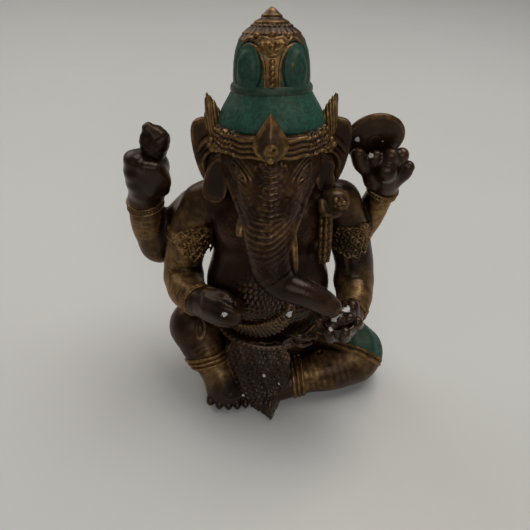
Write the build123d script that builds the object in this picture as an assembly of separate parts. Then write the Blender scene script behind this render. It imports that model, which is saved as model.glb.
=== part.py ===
"""Seated four-armed elephant-headed deity, cast in sections that are pinned and brazed together.

Frame, in millimetres: +Z up, the figure faces -Y, its own right side is -X. The origin is the middle
of the underside of the base plate, which is the face that the figure stands on.
"""

import math
import os

from build123d import *

# Driving dimensions
FIGURE_HEIGHT = 200.0
SHOULDER_HALF_WIDTH = 40.0
SHOULDER_Z = 104.0
HEAD_X = 1.5                    # the head sits a little to the figure's left
HEAD_Z = 134.0
CHAKRA_RADIUS = 14.5
CHAKRA_THICKNESS = 3.6
CHAKRA_LEAN = 18.0              # its top leans forward by this angle
BOWL_RADIUS = 10.0
BOWL_WALL = 1.8
BOWL_HOLLOW_DEPTH = 2.4

# The crown is turned upright about its own axis, then leant back about a point low on that axis
CROWN_Y = 1.0
CROWN_LEAN = 12.5
CROWN_HINGE_Z = 158.0
CROWN_BASE_Z = 150.3
DOME_BASE_Z = 164.5
DOME_TOP_Z = 194.0
FINIAL_NECK_Z = 198.4

# Joinery
BRAZE_GAP = 0.05                # clearance between neighbouring castings
SOCKET_RELIEF = 0.4             # how much deeper a socket is than the spigot in it
BASE_PLATE_THICKNESS = 3.0
CORE_TOP_Z = 70.0               # top of the hollow inside the body
SMALLEST_SHARE = 0.06           # crumbs left by a cut that are smaller than this share are dropped

# Centres of the joints of the body: (x, y, z), right side then left
KNEE_R, KNEE_L = (-41.0, -18.0, 37.0), (51.0, -21.0, 17.0)
HIP_R, HIP_L = (-22.0, -2.0, 30.0), (24.0, 2.0, 24.0)
ANKLE_R, ANKLE_L = (-28.0, -34.0, 17.0), (18.0, -33.0, 10.0)
SHIN_HEAD_L = (50.0, -24.0, 15.0)
SHOULDER_R = (-SHOULDER_HALF_WIDTH, 3.0, SHOULDER_Z)
SHOULDER_L = (SHOULDER_HALF_WIDTH, 3.0, SHOULDER_Z)
ELBOW_R, ELBOW_L = (-47.0, -6.0, 63.0), (48.0, -8.0, 62.0)
WRIST_R, WRIST_L = (-35.0, -31.0, 67.0), (42.0, -32.0, 60.0)
REAR_SHOULDER_R, REAR_SHOULDER_L = (-42.0, 12.0, 98.0), (42.0, 12.0, 96.0)
REAR_ELBOW_R, REAR_ELBOW_L = (-62.0, 12.0, 74.0), (50.0, 14.0, 79.0)
REAR_WRIST_R, REAR_WRIST_L = (-66.0, 8.0, 104.0), (60.0, 7.0, 108.0)
CHAKRA_CENTRE = (52.6, 5.6, 139.9)
BOWL_CENTRE = (36.6, -47.0, 69.0)
TRUNK_TURN = (1.8, -43.0, 98.0)  # where the hanging trunk turns towards the bowl

# Radii of the limbs at those joints
SHOULDER_RADIUS, ELBOW_RADIUS, WRIST_RADIUS = 12.5, 11.5, 7.8
REAR_SHOULDER_RADIUS, REAR_ELBOW_RADIUS, REAR_WRIST_RADIUS = 10.0, 11.5, 9.0
HIP_RADIUS, KNEE_R_RADIUS, KNEE_L_RADIUS, ANKLE_RADIUS = 19.0, 15.0, 17.0, 9.0
FOREARM_STEP = 0.3              # a forearm starts this much thinner than the elbow it meets
CLOTH_THICKNESS = 1.1

CROWN_POSE = (Pos(HEAD_X, CROWN_Y, CROWN_HINGE_Z) * Rot(-CROWN_LEAN, 0, 0)
              * Pos(-HEAD_X, -CROWN_Y, -CROWN_HINGE_Z))


def crown_axis(height):
    """The point of the leaning crown's axis that is at this height before it leans."""
    rise, lean = height - CROWN_HINGE_Z, math.radians(CROWN_LEAN)
    return (HEAD_X, CROWN_Y + rise * math.sin(lean), CROWN_HINGE_Z + rise * math.cos(lean))


def ball(centre, radius):
    return Pos(*centre) * Sphere(radius)


def ellipsoid(centre, radii, tilt=(0, 0, 0)):
    """An ellipsoid with its half-axes along X, Y and Z before the tilt, in degrees about X, Y and Z."""
    return Pos(*centre) * Rot(*tilt) * scale(Sphere(1), by=tuple(float(r) for r in radii))


def limb(start, start_radius, end, end_radius):
    """Two balls and the cone that is tangent to both."""
    axis = Vector(*end) - Vector(*start)
    length = axis.length
    lean = math.asin((start_radius - end_radius) / length)
    below, over = (lean - math.pi / 2) / 2, (lean + math.pi / 2) / 2
    low = (start_radius * math.cos(lean), start_radius * math.sin(lean))
    high = (end_radius * math.cos(lean), length + end_radius * math.sin(lean))
    low_side = (start_radius * math.cos(below), start_radius * math.sin(below))
    high_side = (end_radius * math.cos(over), length + end_radius * math.sin(over))
    with BuildSketch(Plane.XZ) as profile:
        with BuildLine():
            ThreePointArc((0, -start_radius), low_side, low)
            Line(low, high)
            ThreePointArc(high, high_side, (0, length + end_radius))
            Line((0, length + end_radius), (0, -start_radius))
        make_face()
    return Plane(origin=start, z_dir=axis) * revolve(profile.sketch, Axis.Z)


def tube(stations, grow=0.0):
    """A smooth tapered tube through (x, y, z, radius) stations."""
    points = [Vector(*s[:3]) for s in stations]
    sections = []
    for i, (point, station) in enumerate(zip(points, stations)):
        tangent = points[min(i + 1, len(points) - 1)] - points[max(i - 1, 0)]
        across = tangent.cross(Vector(0, 1, 0.3))
        sections.append(Plane(origin=point, x_dir=across, z_dir=tangent) * Circle(station[3] + grow))
    return loft(sections)


def turned(profile, centre=(0, 0), grow=0.0):
    """A solid of revolution about Z from (radius, z) points, lowest first."""
    outline = [(0, profile[0][1] - grow)]
    outline += [(r + grow, z - grow if i == 0 else z + grow if i == len(profile) - 1 else z)
                for i, (r, z) in enumerate(profile)]
    outline.append((0, profile[-1][1] + grow))
    face = Plane.XZ * make_face(Polyline(*outline, close=True))
    return Pos(centre[0], centre[1], 0) * revolve(face, Axis.Z)


def ring(start, end, share, bore, wire):
    """A round ring about the line from start to end, at that share of its length."""
    axis = Vector(*end) - Vector(*start)
    return Plane(origin=Vector(*start) + axis * share, z_dir=axis) * Torus(bore, wire)


def oval_band(centre, outer, wall, height, grow=0.0):
    """An upright oval hoop with half-widths outer = (x, y), standing height tall about centre."""
    shell = extrude(Ellipse(outer[0] + grow, outer[1] + grow), amount=height + 2 * grow)
    bore = extrude(Ellipse(outer[0] - wall - grow, outer[1] - wall - grow), amount=height + 4 * grow)
    return Pos(centre[0], centre[1], centre[2] - height / 2 - grow) * (shell - Pos(0, 0, -grow) * bore)


def union(*shapes):
    total = shapes[0]
    for shape in shapes[1:]:
        total = total + shape
    return total


def above(level, reach=120.0):
    """The half-space over a height, as a large box."""
    return Pos(0, 0, level + reach) * Box(4 * reach, 4 * reach, 2 * reach)


def cylinder_between(start, end, radius):
    axis = Vector(*end) - Vector(*start)
    standing = (Align.CENTER, Align.CENTER, Align.MIN)
    return Plane(origin=start, z_dir=axis) * Cylinder(radius, axis.length, align=standing)


# Body castings: each function returns the piece, grown by g on its faces when it cuts a neighbour

def torso(g=0.0):
    belly = ellipsoid((0, -8, 62), (34 + g, 32 + g, 31 + g))
    chest = ellipsoid((0, 0, 94), (31 + g, 23 + g, 27 + g))
    return union(belly, chest)


def head(g=0.0):
    skull = ellipsoid((HEAD_X, -3, HEAD_Z), (25 + g, 22 + g, 20 + g))
    muzzle = limb((HEAD_X, -16, HEAD_Z), 17 + g, (HEAD_X - 0.5, -29, 121), 11.5 + g)
    return union(skull, muzzle)


def hips(g=0.0):
    return ellipsoid((1, 3, 24), (42 + g, 33 + g, 30 + g)) & above(0)


def segment(start, start_radius, end, end_radius):
    return lambda g=0.0: limb(start, start_radius + g, end, end_radius + g) & above(0)


def oval(centre, radii, tilt=(0, 0, 0)):
    return lambda g=0.0: ellipsoid(centre, [r + g for r in radii], tilt) & above(0)


def trunk(g=0.0):
    root, bridge, middle = (1, -30, 122, 12.6), (0.6, -35, 115, 11.2), (0.6, -39, 107, 10.0)
    return tube([root, bridge, middle, TRUNK_TURN + (8.6,)], g)


def trunk_tip(g=0.0):
    bend = limb(TRUNK_TURN, 8.6 + g, (8, -46.6, 91.8), 7.6 + g)
    middle = limb((8, -46.6, 91.8), 7.6 + g, (18, -48.8, 87.2), 6.8 + g)
    return union(bend, middle, limb((18, -48.8, 87.2), 6.8 + g, (30, -49.6, 80), 5.6 + g))


def tusk(root, tip, root_radius, tip_radius):
    return lambda g=0.0: limb(root, root_radius + g, tip, tip_radius + g)


# Crown and head ornaments

def diadem_band(g=0.0):
    hoop = oval_band((0, 0, 0), (27.5, 27.0), 5.5, 9.5, g)
    return Pos(HEAD_X, -2, 150) * Rot(-9, 0, 0) * hoop


def diadem_plate(g=0.0):
    """A pointed leaf standing over the brow, with a round boss."""
    outline = Polyline((-9.5, 2.5), (-6, 7), (0, 15), (6, 7), (9.5, 2.5),
                       (5.5, -1.5), (0, -4), (-5.5, -1.5), close=True)
    plate = extrude(scale(make_face(outline), by=1 + g / 8), amount=3.6 + 2 * g)
    boss = Pos(0, 1.5, 3.4) * Sphere(3.4 + g)
    return Pos(HEAD_X, -28.2 + g, 151) * Rot(80, 0, 0) * union(plate, boss)


def crown_turned(profile, g):
    return CROWN_POSE * turned(profile, (HEAD_X, CROWN_Y), g)


def crown_brim(g=0.0):
    return crown_turned([(24.5, CROWN_BASE_Z), (25.2, 151.6), (24.0, 156), (20.4, 161.6),
                         (18.0, DOME_BASE_Z)], g)


def crown_ring(g=0.0):
    return CROWN_POSE * Pos(HEAD_X, CROWN_Y, DOME_BASE_Z + 2) * Torus(16.9, 2.1 + g)


def crown_dome(g=0.0):
    return crown_turned([(17.4, DOME_BASE_Z + BRAZE_GAP), (17.5, 173), (16.8, 180), (15.0, 186.6),
                         (12.2, 190.6), (7.9, DOME_TOP_Z)], g)


def crown_finial(g=0.0):
    """A stepped knob and the cone on it, whose leaning tip just reaches the figure's full height."""
    knob = crown_turned([(7.6, DOME_TOP_Z + BRAZE_GAP), (7.8, 194.9), (5.4, 195.8), (4.5, 197.2),
                         (3.0, FINIAL_NECK_Z)], g)
    lean, tip_radius = math.radians(CROWN_LEAN), 0.4
    tip_rise = FIGURE_HEIGHT - CROWN_HINGE_Z - tip_radius * math.sin(lean)
    cone_height = CROWN_HINGE_Z + tip_rise / math.cos(lean) - FINIAL_NECK_Z
    standing = (Align.CENTER, Align.CENTER, Align.MIN)
    cone = Cone(2.4 + g, tip_radius + g, cone_height, align=standing)
    return union(knob, CROWN_POSE * Pos(HEAD_X, CROWN_Y, FINIAL_NECK_Z) * cone)


def crown_crest(g=0.0):
    """The bead column up the front of the dome and the mask over it, in the round."""
    column = limb((HEAD_X, -16.2, 168), 2.2 + g, (HEAD_X, -15.0, 183), 2.2 + g)
    mask = ellipsoid((HEAD_X, -12.2, 186.4), (5.5 + g, 4.2 + g, 4.6 + g))
    return CROWN_POSE * union(column, mask)


def crown_panels(g=0.0):
    """Four oval bosses on the dome, two in front and two behind."""
    boss = ellipsoid((0, -15.2, 176), (6.4 + g, 4.0 + g, 9.4 + g))
    return CROWN_POSE * Compound([Pos(HEAD_X, CROWN_Y, 0) * Rot(0, 0, azimuth) * boss
                                  for azimuth in (-42, 42, 138, -138)])


def ear_flame(root, tip):
    """A horn that swells to a third of its height and then narrows to a point."""
    def make(g=0.0):
        waist = tuple(root[i] + 0.35 * (tip[i] - root[i]) for i in range(3))
        return union(limb(root, 2.8 + g, waist, 3.2 + g), limb(waist, 3.2 + g, tip, 0.7 + g))
    return make


# Body ornaments and dress

def triple_ring(start, end, shares, bores, wire):
    def make(g=0.0):
        return Compound([ring(start, end, s, b, wire + g) & above(0) for s, b in zip(shares, bores)])
    return make


def arm_band(start, end, share, bore, outer, width):
    """A plain broad hoop about a limb."""
    def make(g=0.0):
        axis = (Vector(*end) - Vector(*start)).normalized()
        middle = Vector(*start) + (Vector(*end) - Vector(*start)) * share
        hoop = Cylinder(outer + g, width + 2 * g) - Cylinder(bore, width + 4)
        return Plane(origin=middle, z_dir=axis) * hoop
    return make


def shoulder_clasp(g=0.0):
    return ellipsoid((31.2, -11.6, 113.2), (6.4 + g, 5.2 + g, 6.2 + g))


def sacred_thread(g=0.0):
    return tube([(29.6, -14, 107.5, 3.3), (29.4, -17, 99.5, 3.2), (28.6, -19.8, 91, 3.0),
                 (26.6, -24, 83, 2.8)], g)


def belt(g=0.0):
    return oval_band((0.5, -6, 45), (32.5, 33.0), 6.5, 6.0, g)


def apron_fringe(g=0.0):
    return tube([(-17, -36.5, 56.5, 3.0), (-11, -39.6, 55.4, 4.4), (-2, -41, 56.6, 5.2), (6, -40, 61, 4.8),
                 (12, -37, 68, 3.2)], g)


def sash_knot(g=0.0):
    return ellipsoid((18, -38, 47), (6.5 + g, 4.5 + g, 4.0 + g), (0, -20, 0))


def loin_tail(g=0.0):
    """The front end of the loincloth: a cloth slab from the belt to a lopsided point on the ground."""
    def slice_at(y, z, half_width, half_depth):
        section = Rectangle(2 * (half_width + g), 2 * (half_depth + g))
        return Plane(origin=(0.5, y, z), x_dir=(1, 0, 0), z_dir=(0, 0.35, 1)) * section
    slab = loft([slice_at(-35, 41, 9.5, 4), slice_at(-40.5, 26, 11.5, 5), slice_at(-43.5, 7, 10, 5.5)])
    outline = Polyline((-9.5 - g, -38), (10.5 + g, -38), (10.5 + g, -41 - g), (1.8, -57 - g),
                       (-9.5 - g, -48.5 - g), close=True)
    return union(slab, extrude(make_face(outline), amount=9 + g)) & above(0)


def thigh_cloth(g=0.0):
    """A skin of cloth over the top and outside of the left thigh, behind its border."""
    wrapped = limb(HIP_L, HIP_RADIUS + CLOTH_THICKNESS + g, KNEE_L, KNEE_L_RADIUS + CLOTH_THICKNESS + g)
    hem = Plane(origin=(45, -26, 28), z_dir=(0.38, 0.78, 0.42))
    return wrapped & above(6.0) & hem * Pos(0, 0, 40) * Box(160, 160, 80)


def thigh_border(g=0.0):
    """A round cord along the front hem of the cloth."""
    return tube([(33, -22.5, 35.6, 1.9), (42, -27.5, 34.6, 1.9), (52, -32.5, 30.6, 1.9),
                 (60, -33.5, 24, 1.9)], g)


# Things held

def chakra(g=0.0):
    """A disc with a shallow round dish in its face, which looks forward and a little down."""
    disc = Cylinder(CHAKRA_RADIUS + g, CHAKRA_THICKNESS + 2 * g)
    if not g:
        dish_depth, rim_width = 0.8, 1.6
        dish = Cylinder(CHAKRA_RADIUS - rim_width, 2 * dish_depth)
        disc = disc - Pos(0, 0, CHAKRA_THICKNESS / 2) * dish
    return Pos(*CHAKRA_CENTRE) * Rot(90 + CHAKRA_LEAN, 0, 4) * disc


def axe_stub(g=0.0):
    """The rough stump of a broken shaft, with a lump on its inner side."""
    shaft = limb((-58.5, 6.8, 131), 6.0 + g, (-56, 6.6, 141.4), 6.2 + g)
    return union(shaft, ellipsoid((-54.5, 6, 140.4), (5.0 + g, 5.4 + g, 5.8 + g)))


def bowl(g=0.0):
    """Half a ball with a flat-floored hollow in its top for the sweets."""
    upper_half = Pos(0, 0, 2 * BOWL_RADIUS) * Box(4 * BOWL_RADIUS, 4 * BOWL_RADIUS, 4 * BOWL_RADIUS)
    half = Pos(*BOWL_CENTRE) * (Sphere(BOWL_RADIUS + g) - upper_half)
    if g:
        return half
    hollow = Cylinder(BOWL_RADIUS - BOWL_WALL, BOWL_HOLLOW_DEPTH)
    return half - Pos(*BOWL_CENTRE) * Pos(0, 0, -BOWL_HOLLOW_DEPTH / 2) * hollow


def sweets(g=0.0):
    """Six round sweets in a ring on the bowl's floor and one in the middle."""
    radius, spread, floor = 2.7, 5.6, BOWL_CENTRE[2] - BOWL_HOLLOW_DEPTH
    centres = [(spread * math.cos(math.radians(a)), spread * math.sin(math.radians(a)), floor + radius + 0.02)
               for a in range(0, 360, 60)]
    centres.append((0, 0, floor + radius + 0.02))
    return Compound([ball((BOWL_CENTRE[0] + x, BOWL_CENTRE[1] + y, z), radius + g) for x, y, z in centres])


def base_plate(g=0.0):
    return extrude(Ellipse(27 + g, 19 + g), amount=BASE_PLATE_THICKNESS + g)


# Assembly order: a piece is cut back from every piece that stands before it
PIECES = {
    "base_plate": base_plate,
    "torso": torso,
    "head": head,
    "hips": hips,
    "right_thigh": segment(HIP_R, HIP_RADIUS, KNEE_R, KNEE_R_RADIUS),
    "right_shin": segment(KNEE_R, KNEE_R_RADIUS - 0.5, ANKLE_R, ANKLE_RADIUS),
    "right_foot": oval((-22.8, -39.8, 8.6), (12.0, 12.5, 8.2)),
    "left_thigh": segment(HIP_L, HIP_RADIUS, KNEE_L, KNEE_L_RADIUS),
    "left_shin": segment(SHIN_HEAD_L, 14.5, ANKLE_L, ANKLE_RADIUS),
    "left_foot": segment((13, -37.5, 8.2), 8.0, (3.5, -41, 6.8), 7.0),
    "right_upper_arm": segment(SHOULDER_R, SHOULDER_RADIUS, ELBOW_R, ELBOW_RADIUS),
    "right_forearm": segment(ELBOW_R, ELBOW_RADIUS - FOREARM_STEP, WRIST_R, WRIST_RADIUS),
    "right_hand": segment((-30.5, -37.6, 69.6), 8.4, (-17, -44.8, 72), 7.4),
    "left_upper_arm": segment(SHOULDER_L, SHOULDER_RADIUS, ELBOW_L, ELBOW_RADIUS),
    "left_forearm": segment(ELBOW_L, ELBOW_RADIUS - FOREARM_STEP, WRIST_L, WRIST_RADIUS),
    "bowl": bowl,
    "left_hand": oval((38.6, -42.6, 60.2), (10.5, 10.5, 7.5)),
    "rear_right_upper_arm": segment(REAR_SHOULDER_R, REAR_SHOULDER_RADIUS, REAR_ELBOW_R, REAR_ELBOW_RADIUS),
    "rear_right_forearm": segment(REAR_ELBOW_R, REAR_ELBOW_RADIUS - FOREARM_STEP,
                                  REAR_WRIST_R, REAR_WRIST_RADIUS),
    "rear_right_hand": segment((-63.6, 7.3, 114.4), 9.7, (-61, 6.9, 126.8), 10.2),
    "rear_left_upper_arm": segment(REAR_SHOULDER_L, REAR_SHOULDER_RADIUS - 1, REAR_ELBOW_L, 9.0),
    "rear_left_forearm": segment(REAR_ELBOW_L, 8.7, REAR_WRIST_L, 7.6),
    "chakra": chakra,
    "rear_left_hand": segment((60.8, 5.5, 118.5), 8.6, (58.8, 3.4, 125.5), 9.8),
    "right_tusk": tusk((-10, -32.5, 119), (-12.8, -37, 113.4), 2.8, 2.2),
    "left_tusk": tusk((11.2, -34, 117.5), (13.4, -43.6, 97.5), 2.4, 1.3),
    "trunk": trunk,
    "trunk_tip": trunk_tip,
    "right_ear": oval((-28.8, 0.5, 133), (9.0, 5.0, 21.0), (0, 6, -13)),
    "left_ear": oval((31.5, 0.5, 133.5), (8.0, 4.8, 18), (0, -6, 14)),
    "crown_brim": crown_brim,
    "crown_dome": crown_dome,
    "crown_ring": crown_ring,
    "crown_finial": crown_finial,
    "crown_crest": crown_crest,
    "crown_panels": crown_panels,
    "diadem_plate": diadem_plate,
    "diadem_band": diadem_band,
    "right_ear_flame": ear_flame((-25.6, -2, 146.5), (-27.4, -0.5, 165.2)),
    "left_ear_flame": ear_flame((28.6, -2, 146.5), (30.4, -0.5, 165.2)),
    "axe_stub": axe_stub,
    "sweets": sweets,
    "right_anklet": triple_ring(KNEE_R, ANKLE_R, (0.72, 0.84, 0.96), (10.8, 10.0, 9.4), 1.3),
    "left_anklet": triple_ring(SHIN_HEAD_L, ANKLE_L, (0.8, 0.88, 0.96), (10.2, 9.8, 9.3), 1.3),
    "right_armband": arm_band(SHOULDER_R, ELBOW_R, 0.5, 10, 13.8, 15),
    "left_armband": arm_band(SHOULDER_L, ELBOW_L, 0.5, 10, 13.8, 15),
    "right_bracelet": triple_ring(ELBOW_R, WRIST_R, (0.93,), (8.1,), 1.5),
    "left_bracelet": triple_ring(ELBOW_L, WRIST_L, (0.95,), (8.1,), 1.5),
    "rear_right_bracelet": triple_ring(REAR_ELBOW_R, REAR_WRIST_R, (0.96,), (9.0,), 1.6),
    "rear_left_bracelet": triple_ring(REAR_ELBOW_L, REAR_WRIST_L, (0.98,), (7.6,), 1.6),
    "shoulder_clasp": shoulder_clasp,
    "sacred_thread": sacred_thread,
    "loin_tail": loin_tail,
    "sash_knot": sash_knot,
    "apron_fringe": apron_fringe,
    "belt": belt,
    "thigh_border": thigh_border,
    "thigh_cloth": thigh_cloth,
}

# Spigots: (piece that carries it, its root, its tip in the neighbour, radius)
SPIGOTS = [
    ("head", (1, -2, 127), (1, -2, 107), 7.0),
    ("right_thigh", (-39.5, -16.7, 36.5), (-30, -8.7, 33), 5.0),
    ("left_thigh", (46.4, -17.1, 18.2), (34.3, -6.7, 21.3), 5.0),
    ("right_shin", (-31.3, -30, 22), (-38.4, -21.2, 33), 3.5),
    ("left_shin", (27.6, -30.3, 11.5), (43.6, -25.8, 14), 3.5),
    ("right_foot", (-22, -43.5, 8.5), (-29.5, -32, 19.5), 3.0),
    ("left_foot", (6, -39.5, 7.6), (21.5, -32, 10.2), 2.4),
    ("right_upper_arm", (-38, 3, SHOULDER_Z), (-22, 2, 102), 3.5),
    ("left_upper_arm", (38, 3, SHOULDER_Z), (22, 2, 102), 3.5),
    ("right_forearm", (-39, -22.5, 65.6), (-45.2, -9.5, 63.6), 3.5),
    ("left_forearm", (44, -24, 60.7), (47, -11.5, 61.7), 3.5),
    ("right_hand", (-25, -40.6, 71), (-37, -27, 66.5), 3.0),
    ("left_hand", (40, -46, 56), (43.5, -26, 60.3), 2.5),
    ("rear_right_upper_arm", (-51, 12, 88), (-41.5, 4, 97), 3.0),
    ("rear_left_upper_arm", (46.5, 13.3, 87), (42, 4, 95), 3.0),
    ("rear_right_forearm", (-64.4, 9.6, 92), (-62.4, 11.6, 77), 3.5),
    ("rear_left_forearm", (55.5, 10.2, 95), (50.6, 13.6, 80.6), 3.0),
    ("rear_right_hand", (-64, 7.6, 117), (-65.6, 8.4, 100), 3.5),
    ("rear_left_hand", (60.4, 5.2, 119), (59, 7.7, 103.5), 3.0),
    ("chakra", (53.8, 8.5, 131), (59, 5.4, 119), 1.5),
    ("axe_stub", (-56.6, 6.7, 139.5), (-61.4, 7.0, 122), 2.5),
    ("trunk", (1.7, -38.5, 107.5), (1, -24, 127), 4.3),
    ("trunk_tip", (2.6, -43.6, 96.5), (0.9, -39.4, 105.5), 3.5),
    ("right_ear", (-28.5, 1, 132), (-17, -1, 133), 2.5),
    ("left_ear", (31, 0, 133), (19, -1.5, 134), 2.4),
    ("crown_brim", (HEAD_X, 0, 158), (HEAD_X, 0, 141), 8.0),
    ("crown_dome", crown_axis(169), crown_axis(160), 5.0),
    ("crown_finial", crown_axis(196.5), crown_axis(185), 3.0),
]


def boxes_meet(one, other):
    a, b = one.bounding_box(), other.bounding_box()
    spans = list(zip(a.min, b.max)) + list(zip(b.min, a.max))
    return all(low <= high for low, high in spans)


def whole_pieces(shape):
    """The solids of a shape without the crumbs that cutting leaves."""
    solids = shape.solids()
    largest = max(s.volume for s in solids)
    kept = [s for s in solids if s.volume > SMALLEST_SHARE * largest]
    return kept[0] if len(kept) == 1 else Compound(kept)


def core():
    """The hollow that the casting's core leaves, open below and closed by the base plate."""
    foot = Plane(origin=(0, 0, -1)) * Ellipse(24, 16)
    crown = Plane(origin=(0, -2, CORE_TOP_Z)) * Ellipse(15, 12)
    return loft([foot, crown])


def assemble():
    made, cutters = {}, {}
    for name, make in PIECES.items():
        shape = make()
        for earlier, cutter in cutters.items():
            if boxes_meet(shape, cutter):
                shape = shape - cutter
        made[name] = whole_pieces(shape)
        cutters[name] = make(BRAZE_GAP)
    for name in ("hips", "torso"):
        made[name] = whole_pieces(made[name] - core())
    for owner, root, tip, radius in SPIGOTS:
        along = (Vector(*tip) - Vector(*root)).normalized()
        deep = tuple(Vector(*tip) + along * SOCKET_RELIEF)
        socket = cylinder_between(root, deep, radius + BRAZE_GAP)
        for name in made:
            if name != owner and boxes_meet(made[name], socket):
                made[name] = whole_pieces(made[name] - socket)
        made[owner] = whole_pieces(made[owner] + cylinder_between(root, tip, radius))
    return made


os.makedirs("parts", exist_ok=True)
for piece_name, piece in assemble().items():
    export_step(piece, f"parts/{piece_name}.step")
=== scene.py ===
import math
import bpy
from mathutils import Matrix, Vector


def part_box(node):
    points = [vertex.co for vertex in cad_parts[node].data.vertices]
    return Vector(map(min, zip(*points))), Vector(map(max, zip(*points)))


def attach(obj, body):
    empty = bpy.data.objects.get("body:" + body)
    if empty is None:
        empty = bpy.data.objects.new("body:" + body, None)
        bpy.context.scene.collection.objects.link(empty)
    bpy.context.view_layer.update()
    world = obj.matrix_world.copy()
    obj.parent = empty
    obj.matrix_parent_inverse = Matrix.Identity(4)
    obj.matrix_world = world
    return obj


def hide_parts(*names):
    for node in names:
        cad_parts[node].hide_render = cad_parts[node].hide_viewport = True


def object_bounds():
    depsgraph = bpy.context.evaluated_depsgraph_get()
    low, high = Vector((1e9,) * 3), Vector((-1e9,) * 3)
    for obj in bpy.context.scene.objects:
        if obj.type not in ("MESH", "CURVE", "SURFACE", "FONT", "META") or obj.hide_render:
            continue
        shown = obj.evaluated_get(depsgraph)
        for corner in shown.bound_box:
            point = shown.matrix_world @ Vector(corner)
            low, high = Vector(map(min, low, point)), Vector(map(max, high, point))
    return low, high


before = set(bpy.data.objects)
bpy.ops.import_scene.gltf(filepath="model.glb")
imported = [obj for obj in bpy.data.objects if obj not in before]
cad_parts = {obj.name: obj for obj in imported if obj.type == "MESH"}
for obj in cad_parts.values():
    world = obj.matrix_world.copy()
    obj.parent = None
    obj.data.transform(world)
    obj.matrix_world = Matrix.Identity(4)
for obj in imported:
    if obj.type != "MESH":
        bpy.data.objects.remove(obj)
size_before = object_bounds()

from concurrent.futures import ThreadPoolExecutor

import bpy
import numpy as np
import openvdb
from mathutils import Vector

# ---------------------------------------------------------------- scale
# Everything is sculpted on a figure 200 units tall and scaled to the frame's height.
UNIT = (size_before[1][2] - size_before[0][2]) / 200.0
COARSE = 1.0
FAR = 30.0                              # the field's value where no form is near
BODY_MARGIN, SMALL_MARGIN = 9.0, 4.0    # how far outside its box a form of the body or ornament is measured


# ---------------------------------------------------------------- distance fields
class Block:
    """A box of sample points on a common lattice. xyz holds their coordinates as open arrays."""

    def __init__(self, low, high, step):
        self.step = step
        self.first = np.floor(np.array(low) / step).astype(int)
        self.count = np.ceil(np.array(high) / step).astype(int) - self.first + 1
        self.axes = [((self.first[a] + np.arange(self.count[a])) * step).astype(np.float32) for a in range(3)]
        self.xyz = self.axes[0][:, None, None], self.axes[1][None, :, None], self.axes[2][None, None, :]

    def window(self, low, high):
        """The slices and open coordinate arrays of the part of the block inside a box, or None."""
        cuts = []
        for axis, lo, hi in zip(self.axes, low, high):
            a, b = np.searchsorted(axis, (lo, hi))
            if a >= b:
                return None
            cuts.append(slice(int(a), int(b)))
        x, y, z = self.xyz
        return tuple(cuts), (x[cuts[0]], y[:, cuts[1]], z[:, :, cuts[2]])

    def near(self, form, margin):
        """The window about a form's box."""
        return self.window(form.low - margin, form.high + margin)


class Form:
    """A solid, given by a function that returns the distance outside it, and by its box."""

    def __init__(self, low, high, distance):
        self.low, self.high, self.distance = np.array(low, float), np.array(high, float), distance


def turn_matrix(degrees):
    """Turns about x, then y, then z."""
    ax, ay, az = (math.radians(d) for d in degrees)
    rx = np.array([[1, 0, 0], [0, math.cos(ax), -math.sin(ax)], [0, math.sin(ax), math.cos(ax)]])
    ry = np.array([[math.cos(ay), 0, math.sin(ay)], [0, 1, 0], [-math.sin(ay), 0, math.cos(ay)]])
    rz = np.array([[math.cos(az), -math.sin(az), 0], [math.sin(az), math.cos(az), 0], [0, 0, 1]])
    return (rz @ ry @ rx).astype(np.float32)


def dot(offset, direction):
    return offset[0] * direction[0] + offset[1] * direction[1] + offset[2] * direction[2]


def local(xyz, centre, turn=None):
    """Coordinates from a centre, along a turned frame's own axes."""
    x, y, z = xyz[0] - centre[0], xyz[1] - centre[1], xyz[2] - centre[2]
    if turn is None:
        return x, y, z
    m = turn_matrix(turn)
    return tuple(m[0, i] * x + m[1, i] * y + m[2, i] * z for i in range(3))


def egg(centre, radii, turn=None):
    """An ellipsoid, turned about its centre by degrees about x, y and z."""
    reach = max(radii)

    def distance(xyz):
        x, y, z = local(xyz, centre, turn)
        k0 = np.sqrt((x / radii[0]) ** 2 + (y / radii[1]) ** 2 + (z / radii[2]) ** 2)
        k1 = np.sqrt((x / radii[0] ** 2) ** 2 + (y / radii[1] ** 2) ** 2 + (z / radii[2] ** 2) ** 2) + 1e-6
        return k0 * (k0 - 1) / k1
    if turn is None:
        return Form(np.array(centre) - radii, np.array(centre) + radii, distance)
    return Form(np.array(centre) - reach, np.array(centre) + reach, distance)


def along(xyz, a, b):
    """The nearest point between a and b, as a share of the way from 0 to 1, and its squared distance."""
    a, b = np.array(a, np.float32), np.array(b, np.float32)
    d = b - a
    length2 = float(d @ d) + 1e-9
    t = ((xyz[0] - a[0]) * d[0] + (xyz[1] - a[1]) * d[1] + (xyz[2] - a[2]) * d[2]) / length2
    c = np.clip(t, 0, 1)
    off2 = sum((xyz[i] - a[i] - c * d[i]) ** 2 for i in range(3))
    return c, off2


def pill(a, ra, b, rb):
    """A tapered limb with round ends."""
    low = np.minimum(np.array(a) - ra, np.array(b) - rb)
    high = np.maximum(np.array(a) + ra, np.array(b) + rb)

    def distance(xyz):
        c, off2 = along(xyz, a, b)
        return np.sqrt(off2) - (ra + (rb - ra) * c)
    return Form(low, high, distance)


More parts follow.
